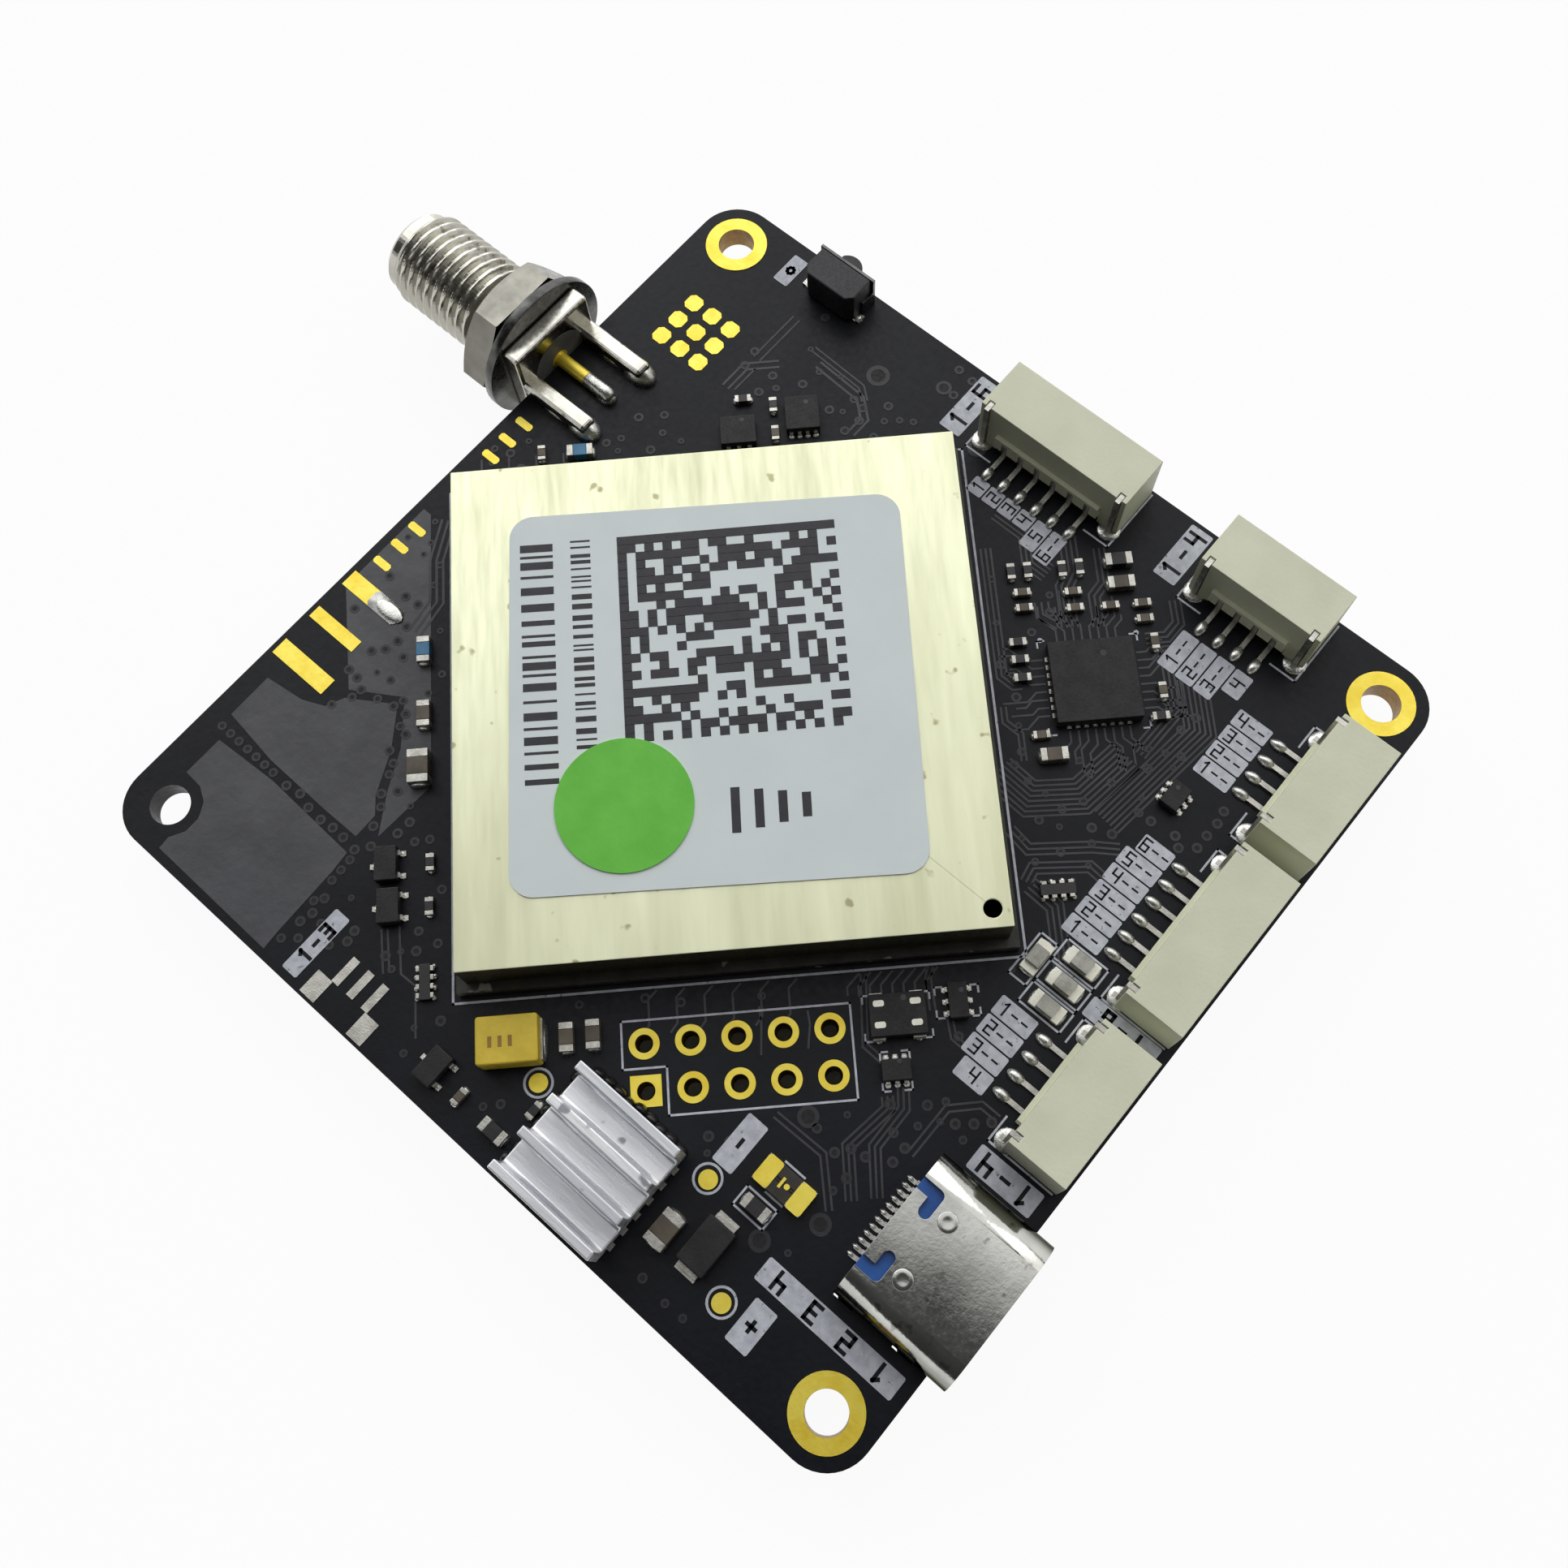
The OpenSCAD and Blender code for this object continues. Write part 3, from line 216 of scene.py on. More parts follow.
# The tone of copper pour under the mask, made lighter still to paint the sheen of the light on these panels.
pour_tone_and_painted_sheen = surface("mask_over_pour_and_painted_sheen", (0.032, 0.034, 0.040), (0.068, 0.070, 0.080), 240, (0.32, 0.46), bump=0.6,
                    fine=1500)
# Painted shade: near-black discs stand for the dark inside of the via holes.
painted_hole_shade = surface("painted_hole_shade", (0.003, 0.003, 0.003), (0.007, 0.007, 0.007), 900, (0.6, 0.8), bump=0.0)
gold = surface("gold_plate", (0.90, 0.68, 0.06), (1.0, 0.84, 0.13), 700, (0.32, 0.48), metallic=0.55, bump=0.15)
plated_wall = surface("plated_wall", (0.20, 0.11, 0.035), (0.40, 0.24, 0.07), 900, (0.35, 0.5), metallic=0.7, bump=0.2)
tin = surface("tin_plate", (0.40, 0.39, 0.35), (0.64, 0.63, 0.58), 1500, (0.24, 0.44), metallic=0.85)
solder = surface("solder", (0.46, 0.46, 0.44), (0.80, 0.80, 0.76), 1800, (0.16, 0.36), metallic=0.9, bump=0.4)
carrier = surface("carrier_edge", (0.010, 0.010, 0.007), (0.034, 0.032, 0.022), 900, (0.35, 0.55),
                  spots=((0.30, 0.29, 0.24), 700, 0.66))
can_metal = surface("can_metal", (0.62, 0.635, 0.43), (0.80, 0.82, 0.59), 420, (0.32, 0.52), metallic=0.9,
                    stretch=(1, 9, 1), turn=45.0, fine=2600, spots=((0.40, 0.38, 0.22), 700, 0.68))
label_paper = surface("label_paper", (0.680, 0.750, 0.760), (0.725, 0.790, 0.800), 200, (0.45, 0.6), bump=0.15)
sticker_green = surface("sticker_green", (0.125, 0.53, 0.042), (0.155, 0.60, 0.058), 500, (0.5, 0.65), fine=3000)
chip_black = surface("chip_black", (0.010, 0.010, 0.011), (0.022, 0.022, 0.024), 900, (0.5, 0.68), bump=0.4, fine=7000,
                     specular=0.35)
nickel = surface("nickel", (0.46, 0.45, 0.40), (0.78, 0.76, 0.69), 420, (0.12, 0.3), metallic=1.0, bump=0.15,
                 spots=((0.20, 0.19, 0.165), 800, 0.67))
nut_nickel = surface("nut_nickel", (0.20, 0.195, 0.17), (0.34, 0.33, 0.29), 420, (0.16, 0.34), metallic=1.0, bump=0.15)
washer_steel = surface("washer_steel", (0.06, 0.06, 0.06), (0.16, 0.16, 0.155), 500, (0.2, 0.36), metallic=1.0,
                       bump=0.2)
ptfe = surface("ptfe", (0.10, 0.10, 0.098), (0.17, 0.17, 0.165), 500, (0.4, 0.55), bump=0.2)
ivory = surface("ivory_plastic", (0.685, 0.705, 0.53), (0.775, 0.79, 0.605), 240, (0.42, 0.58), bump=0.25,
                fine=4200)
blue_plastic = surface("blue_plastic", (0.010, 0.075, 0.32), (0.016, 0.11, 0.42), 600, (0.3, 0.45), bump=0.2)
shell_metal = surface("shell_metal", (0.48, 0.48, 0.455), (0.72, 0.72, 0.68), 320, (0.06, 0.18), metallic=1.0,
                      bump=0.12, fine=4500, spots=((0.34, 0.34, 0.32), 900, 0.66))
button_plastic = surface("button_plastic", (0.008, 0.009, 0.011), (0.019, 0.021, 0.025), 900, (0.42, 0.6))
sink_metal = surface("sink_metal", (0.66, 0.68, 0.72), (0.97, 0.98, 1.0), 420, (0.22, 0.40), metallic=0.6, bump=0.4,
                     stretch=(8, 1, 1), spots=((0.34, 0.35, 0.38), 700, 0.67))
thermal_tape = surface("thermal_tape", (0.12, 0.12, 0.13), (0.20, 0.20, 0.22), 700, (0.6, 0.8))
tantalum_resin = surface("tantalum_resin", (0.62, 0.45, 0.032), (0.76, 0.57, 0.052), 800, (0.42, 0.58))
tantalum_band = surface("tantalum_band", (0.26, 0.14, 0.018), (0.36, 0.20, 0.030), 900, (0.45, 0.6))
lamp_resin = surface("lamp_resin", (0.27, 0.27, 0.235), (0.46, 0.46, 0.41), 1500, (0.2, 0.32), bump=0.1, coat=0.4)
lamp_end = surface("lamp_end", (0.74, 0.73, 0.62), (0.90, 0.89, 0.78), 1500, (0.26, 0.42), metallic=0.5, bump=0.2)
ceramic = surface("capacitor_ceramic", (0.065, 0.052, 0.034), (0.135, 0.112, 0.082), 700, (0.38, 0.55))
film = surface("resistor_film", (0.008, 0.008, 0.010), (0.018, 0.018, 0.021), 900, (0.3, 0.45), bump=0.2)
inductor_blue = surface("inductor_blue", (0.025, 0.13, 0.27), (0.055, 0.23, 0.42), 900, (0.3, 0.45), bump=0.2)
fuse_resin = surface("fuse_resin", (0.018, 0.014, 0.010), (0.034, 0.028, 0.020), 900, (0.3, 0.5), bump=0.2)
silk_ink = surface("silk_ink", (0.42, 0.44, 0.50), (0.60, 0.62, 0.68), 1800, (0.5, 0.65),
                   spots=((0.22, 0.23, 0.26), 2600, 0.67))
ink_black = surface("ink_black", (0.008, 0.008, 0.012), (0.018, 0.018, 0.024), 900, (0.4, 0.55), bump=0.1)
dark_lump_black = surface("dark_lump_black", (0.006, 0.006, 0.007), (0.016, 0.016, 0.018), 700, (0.2, 0.4), bump=0.4)
# Painted shade: the upright faces of the can, the USB shell, the nickel parts and the nut take these darker colours.
for material, colour in ((can_metal, (0.10, 0.096, 0.055)), (shell_metal, (0.09, 0.087, 0.070)),
                         (nickel, (0.42, 0.41, 0.355)), (nut_nickel, (0.12, 0.116, 0.10))):
    paint_side_shade(material, colour)
crowned(shell_metal, (USB_Y + 0.45) * MM, 10.0, (0.30, 0.30, 0.28))

by_slot = {
    "solder_mask": mask, "gold_plating": gold, "tin": tin, "carrier_laminate": carrier, "can_sheet": can_metal,
    "label_paper": label_paper, "green_sticker": sticker_green, "chip_black": chip_black,
    "oscillator_metal": nickel, "nickel": nickel, "washer_steel": washer_steel, "ptfe": ptfe,
    "ivory_plastic": ivory, "blue_plastic": blue_plastic, "shell_metal": shell_metal,
    "button_plastic": button_plastic, "sink_metal": sink_metal, "thermal_tape": thermal_tape,
    "tantalum_resin": tantalum_resin, "lamp_resin": lamp_resin, "capacitor_ceramic": ceramic,
    "resistor_film": film, "inductor_ceramic": inductor_blue, "fuse_resin": fuse_resin,
}


def soften(obj, width, segments=2):
    """Rounds the hard edges of a node with modifiers, so its own mesh stays as it is."""
    weld = obj.modifiers.new("weld", "WELD")
    weld.merge_threshold = 1e-7
    bevel = obj.modifiers.new("bevel", "BEVEL")
    bevel.width = width * MM
    bevel.segments = segments
    bevel.limit_method = "ANGLE"
    bevel.angle_limit = math.radians(40)
    bevel.harden_normals = True


for part in frame["record"]["subparts"]:
    obj = nodes[part["node"]]
    obj.data.materials.clear()
    obj.data.materials.append(by_slot[part["material_slot"]])
for name, material in (("coax_nut", nut_nickel), ("button_cover", washer_steel), ("lamp_terminals", lamp_end)):
    nodes[name].data.materials[0] = material

rounding = {
    0.03: ("button_cover", "resistor_bodies", "resistor_terminals", "fuse_body"),
    0.04: ("lamp_terminals",),
    0.05: ("module_carrier", "usb_insulator", "network_chip", "capacitor_bodies", "capacitor_terminals",
           "inductor_bodies", "inductor_terminals"),
    0.06: ("coax_nut", "coax_washer", "usb_shell", "regulator_chip", "small_chip_bodies", "transistor_bodies",
           "lamp_bodies"),
    0.08: ("button_plunger",),
    0.1: ("button_body", "heatsink", "diode_body", "ethernet_housing", "serial_c_housing", "serial_b_housing",
          "telemetry_housing", "serial_a_housing"),
    0.14: ("tantalum_body",),
    0.16: ("shield_can",),
}
for width, names in rounding.items():
    for name in names:
        soften(nodes[name], width)


# Small shapes, in millimetres

def module_point(u, v):
    """A point in the receiver module's turned axes, in board axes."""
    return (MODULE_X + (u - v) * HALF, (u + v) * HALF)


def module_axes(x, y):
    """A point in board axes, in the receiver module's turned axes."""
    return (x - MODULE_X + y) * HALF, (y - x + MODULE_X) * HALF


def module_path(points):
    return [module_point(*p) for p in points]


def swing(point, turn):
    c, s = math.cos(turn), math.sin(turn)
    return (point[0] * c - point[1] * s, point[0] * s + point[1] * c)


def box(x0, y0, x1, y1):
    """The closed path round a rectangle."""
    return [(x0, y0), (x1, y0), (x1, y1), (x0, y1), (x0, y0)]


def beside(path, distance):
    """The path moved to its left by a distance, with mitred corners."""
    out = []
    for i, point in enumerate(path):
        here = Vector(point)
        ways = []
        if i > 0:
            ways.append((here - Vector(path[i - 1])).normalized())
        if i < len(path) - 1:
            ways.append((Vector(path[i + 1]) - here).normalized())
        normals = [Vector((-w.y, w.x)) for w in ways]
        mitre = sum(normals, Vector((0, 0))).normalized()
        stretch = max(0.35, mitre.dot(normals[0]))
        out.append(tuple(here + mitre * (distance / stretch)))
    return out


def circle(sides):
    """Cosine and sine at even steps round a circle."""
    return [(math.cos(2 * math.pi * i / sides), math.sin(2 * math.pi * i / sides)) for i in range(sides)]


def bands(rows, sides):
    """Faces between neighbouring rows of points, each row a full circle."""
    return [(row + i, row + (i + 1) % sides, row + sides + (i + 1) % sides, row + sides + i)
            for row in range(0, sides * (rows - 1), sides) for i in range(sides)]


def dome(rows, sides):
    """Faces of a closed shape from rows of points, each a full circle, and one point at the tip."""
    last = (rows - 1) * sides
    tip = [(last + i, last + (i + 1) % sides, rows * sides) for i in range(sides)]
    return bands(rows, sides) + tip + [tuple(range(sides))[::-1]]


class Batch:
    """Collects small shapes into one mesh piece."""

    def __init__(self):
        self.points = []
        self.faces = []

    def shape(self, points, faces):
        base = len(self.points)
        self.points += points
        self.faces += [tuple(base + i for i in face) for face in faces]

    def prism(self, outline, low, high):
        area = sum(a[0] * b[1] - b[0] * a[1] for a, b in zip(outline, outline[1:] + outline[:1]))
        if area < 0:
            outline = outline[::-1]
        n = len(outline)
        points = [(x, y, low) for x, y in outline] + [(x, y, high) for x, y in outline]
        faces = [tuple(range(n))[::-1], tuple(range(n, 2 * n))]
        faces += [(i, (i + 1) % n, (i + 1) % n + n, i + n) for i in range(n)]
        self.shape(points, faces)

    def bar(self, centre, size, low, high, turn=0.0, corner=0.0):
        w, d = size[0] / 2, size[1] / 2
        if corner:
            outline = [(w, -d + corner), (w, d - corner), (w - corner, d), (-w + corner, d),
                       (-w, d - corner), (-w, -d + corner), (-w + corner, -d), (w - corner, -d)]
        else:
            outline = [(w, -d), (w, d), (-w, d), (-w, -d)]
        turned = [swing(p, turn) for p in outline]
        self.prism([(centre[0] + x, centre[1] + y) for x, y in turned], low, high)

    def disc(self, centre, radius, low, high, sides=16):
        self.prism([(centre[0] + radius * c, centre[1] + radius * s) for c, s in circle(sides)], low, high)

    def ring(self, centre, inner, outer, low, high, sides=24):
        points, faces = [], []
        for i, (c, s) in enumerate(circle(sides)):
            for radius, z in ((inner, low), (outer, low), (outer, high), (inner, high)):
                points.append((centre[0] + radius * c, centre[1] + radius * s, z))
            a, b = 4 * i, 4 * ((i + 1) % sides)
            faces += [(a + k, b + k, b + (k + 1) % 4, a + (k + 1) % 4) for k in range(4)]
        self.shape(points, [face[::-1] for face in faces])

    def stroke(self, path, width, low, high):
        """A line of one width along a path, with mitred corners."""
        self.prism(beside(path, width / 2) + beside(path, -width / 2)[::-1], low, high)

    def segments(self, path, width, low, high):
        """A line of one width along a path, as overlapping bars."""
        for a, b in zip(path, path[1:]):
            middle = ((a[0] + b[0]) / 2, (a[1] + b[1]) / 2)
            length = math.dist(a, b) + width
            self.bar(middle, (length, width), low, high, math.atan2(b[1] - a[1], b[0] - a[0]))

    def mound(self, centre, radii, base, height, turn=0.0, sides=14, rows=4):
        """Half an ellipsoid that stands on base, such as a solder joint; a negative height hangs below it."""
        points = []
        for row in range(rows):
            lift = math.pi / 2 * row / rows
            wide, deep = radii[0] * math.cos(lift), radii[1] * math.cos(lift)
            for c, s in circle(sides):
                x, y = swing((wide * c, deep * s), turn)
                points.append((centre[0] + x, centre[1] + y, base + height * math.sin(lift)))
        points.append((centre[0], centre[1], base + height))
        faces = dome(rows, sides)
        self.shape(points, faces if height > 0 else [face[::-1] for face in faces])

    def dish(self, centre, base, profile, sides=28):
        """A round, closed shape about Z from pairs of radius and height above base, from the rim to the middle."""
        points = [(centre[0] + radius * c, centre[1] + radius * s, base + height)
                  for radius, height in profile[:-1] for c, s in circle(sides)]
        points.append((centre[0], centre[1], base + profile[-1][1]))
        self.shape(points, dome(len(profile) - 1, sides))

    def lathe(self, profile, y, z, sides=20):
        """A closed round shape along X from pairs of x and radius."""
        points = [(x, y + radius * c, z + radius * s) for x, radius in profile for c, s in circle(sides)]
        last = (len(profile) - 1) * sides
        ends = [tuple(range(sides))[::-1], tuple(range(last, last + sides))]
        self.shape(points, bands(len(profile), sides) + ends)

    def piece(self, name, material, slot, smooth=False):
        mesh = bpy.data.meshes.new(name)
        mesh.from_pydata([Vector(p) * MM for p in self.points], [], self.faces)
        return finish_piece(name, mesh, material, smooth)


def finish_piece(name, mesh, material, smooth=False):
    """Adds a mesh to the scene as a piece of the board."""
    mesh.materials.append(material)
    mesh.update()
    for polygon in mesh.polygons:
        polygon.use_smooth = smooth
    obj = bpy.data.objects.new(name, mesh)
    scene.collection.objects.link(obj)
    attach(obj, BODY)
    return obj


def islands(name):
    """The separate solids of a node, each as a list of points in millimetres."""
    mesh = nodes[name].data
    keys = [tuple(round(c * 1e6) for c in v.co) for v in mesh.vertices]
    parent = {key: key for key in keys}

    def root(key):
        while parent[key] != key:
            parent[key] = parent[parent[key]]
            key = parent[key]
        return key

    for polygon in mesh.polygons:
        first = root(keys[polygon.vertices[0]])
        for i in polygon.vertices[1:]:
            parent[root(keys[i])] = first
    groups = {}
    for key in parent:
        groups.setdefault(root(key), []).append(tuple(c / 1000 for c in key))
    return [groups[key] for key in sorted(groups)]


def middle(points):
    """The middle of the box round some points."""
    return tuple((min(p[i] for p in points) + max(p[i] for p in points)) / 2 for i in range(3))


# Coaxial socket: flange, legs, threaded barrel and bore

def make_coax_body():
    pitch, root, crest = 0.706, 2.74, 3.1
    thread_from, thread_to, tip = 4.85, 12.05, 12.85
    sides = 72
    rows = [(2.9, 1.25), (2.9, thread_from - 0.02)]
    count = 112
    rows += [(None, thread_from + (thread_to - thread_from) * i / count) for i in range(count + 1)]
    rows += [(2.72, thread_to + 0.03), (2.72, tip - 0.25), (2.5, tip), (2.35, tip), (2.35, tip - 2.0), (2.1, tip - 2.0),
             (2.1, 1.0), (2.9, 1.0)]

    def radius(r, a, t):
        if r is not None:
            return r
        phase = ((a - thread_from) / pitch - t / (2 * math.pi)) % 1.0
        wave = min(1.0, max(0.0, (1 - abs(2 * phase - 1)) * 1.5 - 0.2))
        fade = min(1.0, (a - thread_from) / 0.3, (thread_to - a) / 0.45)
        return root + (crest - root) * wave * max(0.0, fade)

    bm = bmesh.new()
    grid = []
    for r, a in rows:
        line = []
        for i in range(sides):
            t = 2 * math.pi * i / sides
            q = radius(r, a, t)
            spot = (-EDGE - a, COAX_Y + q * math.cos(t), COAX_Z + q * math.sin(t))
            line.append(bm.verts.new([c * MM for c in spot]))
        grid.append(line)
    for j in range(len(grid)):
        here, after = grid[j], grid[(j + 1) % len(grid)]
        for i in range(sides):
            k = (i + 1) % sides
            bm.faces.new((here[i], here[k], after[k], after[i]))
    bmesh.ops.recalc_face_normals(bm, faces=bm.faces)

    def block(low, high, width):
        made = bmesh.ops.create_cube(bm, size=1.0)["verts"]
        for v in made:
            v.co = Vector([(low[i] + (v.co[i] + 0.5) * (high[i] - low[i])) * MM for i in range(3)])
        edges = list({e for v in made for e in v.link_edges})
        bmesh.ops.bevel(bm, geom=edges, offset=width * MM, segments=3, affect="EDGES", profile=0.5)

    flange = 3.15
    block((-EDGE - 1.25, COAX_Y - flange, COAX_Z - flange), (-EDGE - 0.015, COAX_Y + flange, COAX_Z + flange), 0.22)
    for side in (-1, 1):
        for low_z in (TOP + 0.03, -0.03 - LEG_SIZE):
            y = COAX_Y + side * LEG_Y
            block((-EDGE - 0.4, y - LEG_SIZE / 2, low_z), (-EDGE + 5.0, y + LEG_SIZE / 2, low_z + LEG_SIZE), 0.26)
    mesh = bpy.data.meshes.new("coax_shell")
    bm.to_mesh(mesh)
    bm.free()
    obj = finish_piece("coax_shell", mesh, nickel)
    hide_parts("coax_body")


# Solder on the joints of the parts

def make_solder():
    joints = Batch()
    pairs = [("capacitor_terminals", "capacitor_bodies"), ("resistor_terminals", "resistor_bodies"),
             ("inductor_terminals", "inductor_bodies"), ("lamp_terminals", "lamp_bodies"),
             ("tantalum_terminals", "tantalum_body")]
    for terminals, bodies in pairs:
        bodies_at = [middle(p) for p in islands(bodies)]
        for points in islands(terminals):
            at = Vector(middle(points))
            body = min(bodies_at, key=lambda b: (Vector(b) - at).length)
            way = Vector((at.x - body[0], at.y - body[1])).normalized()
            spread = [Vector((p[0] - at.x, p[1] - at.y)) for p in points]
            length = max(s.dot(way) for s in spread)
            width = max(abs(s.x * -way.y + s.y * way.x) for s in spread)
            height = max(p[2] for p in points) - TOP
            end = (at.x + way.x * length * 0.8, at.y + way.y * length * 0.8)
            joints.mound(end, (0.16 + 0.1 * width, width * 1.05), TOP, height * 0.62, math.atan2(way.y, way.x))
    for name in ("small_chip_leads", "transistor_leads", "network_chip_pads"):
        for points in islands(name):
            joints.mound(middle(points), (0.2, 0.2), TOP, 0.13)
    sockets = ((6, 1.3, True), (4, 16.05, True), (4, 17.05, False), (6, 6.25, False), (4, -4.9, False))
    for count, along, upper in sockets:
        for i in range(count):
            step = along + (i - (count - 1) / 2) * SOCKET_PITCH
            if upper:
                joints.mound((step, 22.05), (0.34, 0.62), TOP, 0.4)
            else:
                joints.mound((21.85, step), (0.62, 0.34), TOP, 0.4)
    for points in islands("socket_solder_tabs"):
        joints.mound(middle(points), (0.75, 0.75), TOP, 0.2)
    for points in islands("usb_contacts"):
        joints.mound((min(p[0] for p in points) + 0.08, middle(points)[1]), (0.26, 0.13), TOP, 0.24)
    joints.mound((-23.65, COAX_Y), (0.75, 0.62), TOP, 0.72)
    sleeve = [(-25.4, 0.40), (-25.2, 0.47), (-23.6, 0.50), (-23.3, 0.47), (-23.1, 0.30)]
    joints.lathe(sleeve, COAX_Y, COAX_Z)
    for side in (-1, 1):
        y = COAX_Y + side * LEG_Y
        for base, way in ((TOP, 1), (0.0, -1)):
            joints.mound((-23.15, y), (1.25, 0.85), base, way * 1.0)
            joints.mound((-25.2, y), (1.5, 0.72), base, way * 0.7)
        for x in (22.4, 26.4):
            joints.mound((x, USB_Y + side * 4.35), (0.75, 0.42), 0.0, -0.4)
    for points in islands("button_terminals"):
        joints.mound(middle(points), (0.42, 0.36), TOP, 0.2)
    joints.piece("solder_joints", solder, "tin", smooth=True)


# Silkscreen

MARKS = {
    "1": [[(0.2, 1.6), (0.6, 2), (0.6, 0)]],
    "2": [[(0, 2), (1, 2), (1, 1), (0, 1), (0, 0), (1, 0)]],
    "3": [[(0, 2), (1, 2), (1, 0), (0, 0)], [(0.2, 1), (1, 1)]],
    "4": [[(0, 2), (0, 1), (1, 1)], [(1, 2), (1, 0)]],
    "5": [[(1, 2), (0, 2), (0, 1), (1, 1), (1, 0), (0, 0)]],
    "6": [[(1, 2), (0, 2), (0, 0), (1, 0), (1, 1), (0, 1)]],
    "-": [[(0.1, 1), (0.9, 1)]],
    "+": [[(0, 1), (1, 1)], [(0.5, 0.5), (0.5, 1.5)]],
    "o": [[(0.5, 0.4), (0.9, 0.6), (1.1, 1), (0.9, 1.4), (0.5, 1.6), (0.1, 1.4), (-0.1, 1), (0.1, 0.6), (0.5, 0.4)]],
}
INK_LOW, INK_HIGH, CUT_HIGH = TOP + 0.022, TOP + 0.034, TOP + 0.040


def marks(batch, row, centre, height, turn, width, step):
    """A row of numbers and signs in thin strokes, centred on a point."""
    size = height / 2
    for i, mark in enumerate(row):
        shift = (i - (len(row) - 1) / 2) * step
        for line in MARKS.get(mark, []):
            path = [swing((shift + (x - 0.5) * size * 1.1, (y - 1) * size), turn) for x, y in line]
            batch.segments([(centre[0] + x, centre[1] + y) for x, y in path], width, INK_HIGH, CUT_HIGH)


def make_silkscreen():
    ink, cut = Batch(), Batch()

    def plate(x0, y0, x1, y1):
        ink.bar(((x0 + x1) / 2, (y0 + y1) / 2), (abs(x1 - x0), abs(y1 - y0)), INK_LOW, INK_HIGH, corner=0.08)

    def lines(path, width=0.12):
        ink.segments(path, width, INK_LOW, INK_HIGH)

    def pins(count, start, step, low, high, firsts, along_x):
        """Numbered plates for the contacts of a socket."""
        for i in range(count):
            a, b = start + i * step, start + (i + 1) * step - 0.1 * (1 if step > 0 else -1)
            near = firsts.get(i, low)
            row = str(i + 1) + ("--" if high - near > 2.0 else "")
            if along_x:
                plate(a, near, b, high)
                marks(cut, row, ((a + b) / 2, (near + high) / 2), 0.74, math.pi / 2, 0.115, 0.66)
            else:
                plate(near, a, high, b)
                marks(cut, row, ((near + high) / 2, (a + b) / 2), 0.74, 0.0, 0.115, 0.66)

    pins(4, -2.45, -1.3, 18.6, 21.05, {3: 19.05}, False)
    pins(6, 2.5, 1.25, 18.7, 21.2, {5: 19.15}, False)
    pins(4, 14.65, 1.22, 18.85, 21.15, {}, False)
    pins(4, 13.4, 1.28, 18.65, 21.35, {3: 19.68}, True)
    pins(6, -2.3, 1.18, 20.45, 21.6, {4: 19.6, 5: 19.4}, True)

    up, back = math.pi / 2, math.pi
    for x0, y0, x1, y1, row, turn in (
            (-6.4, 22.95, -4.85, 27.3, "1-6", up), (9.75, 23.25, 11.3, 27.3, "1-4", up),
            (22.65, -10.9, 26.8, -9.4, "1-4", back), (22.45, -0.55, 27.0, 0.7, "1-6", back),
            (-21.35, 24.45, -20.25, 26.7, "o", up), (-13.0, -27.1, -11.9, -22.85, "1-3", up),
            (12.15, -19.3, 13.5, -16.2, "-", up), (18.55, -25.55, 20.0, -22.97, "+", up),
            (17.8, -22.38, 26.9, -21.0, "1 2 3 4", back)):
        plate(x0, y0, x1, y1)
        short = min(x1 - x0, y1 - y0)
        marks(cut, row, ((x0 + x1) / 2, (y0 + y1) / 2), short * 0.68, turn, 0.22, short * 0.8)

    side = 15.85
    lines(module_path(box(-side, -side, side, side)), 0.14)
    lines(module_path([(-6.65, -17.6), (5.92, -17.6), (5.92, -22.8), (-4.25, -22.8), (-4.25, -20.2), (-6.65, -20.2),
                       (-6.65, -17.6)]))
    lines(box(18.05, -1.3, 19.2, 1.6))
    for y in (-1.5, 0.05, 1.6):
        lines(box(19.4, y - 0.68, 22.2, y + 0.68))
    lines(box(14.55, -19.1, 16.6, -20.33))
    lines([(15.3, -16.88), (16.6, -16.88)])
    lines([(15.5, -18.75), (16.6, -18.75)])
    for inner, outer in ((4.96, 6.72), (-2.3, -4.16), (18.55, 20.25), (13.5, 11.85)):
        lines([(inner, 22.8), (outer, 22.8), (outer, 27.3)])
    for low, high in ((-9.1, -0.7), (0.8, 11.7), (12.85, 21.25)):
        lines([(22.75, low + 1.6), (22.75, low), (27.0, low)])
        lines([(22.75, high - 1.6), (22.75, high), (27.0, high)])
    cornered = ((*FILTER, 3.7, 2.5), (8.1, -21.45, 1.6, 2.1), (11.8, -18.0, 2.4, 1.7), (*NETWORK_CHIP, 5.9, 5.9))
    for u, v, w, d in cornered:
        for su in (-1, 1):
            for sv in (-1, 1):
                corner = (u + su * w / 2, v + sv * d / 2)
                lines(module_path([(corner[0] - su * 0.4, corner[1]), corner, (corner[0], corner[1] - sv * 0.4)]), 0.11)
    for at in ((12.7, -20.22), (17.34, -24.37), (2.4, -22.45)):
        ink.ring(at, 0.7, 0.84, INK_LOW, INK_HIGH)
    for u, v in ((19.0, 2.75), (24.7, 2.75)):
        ink.disc(module_point(u, v), 0.16, INK_LOW, INK_HIGH)
    ink.piece("silkscreen", silk_ink, "label_paper")
    cut.piece("silkscreen_marks", mask, "solder_mask")


# Copper under the mask: pours, traces and vias, and bare gold areas. Pours and traces are coloured lighter to paint
# sheen and highlights as well as the copper's tone, and the via holes are discs of painted shade.

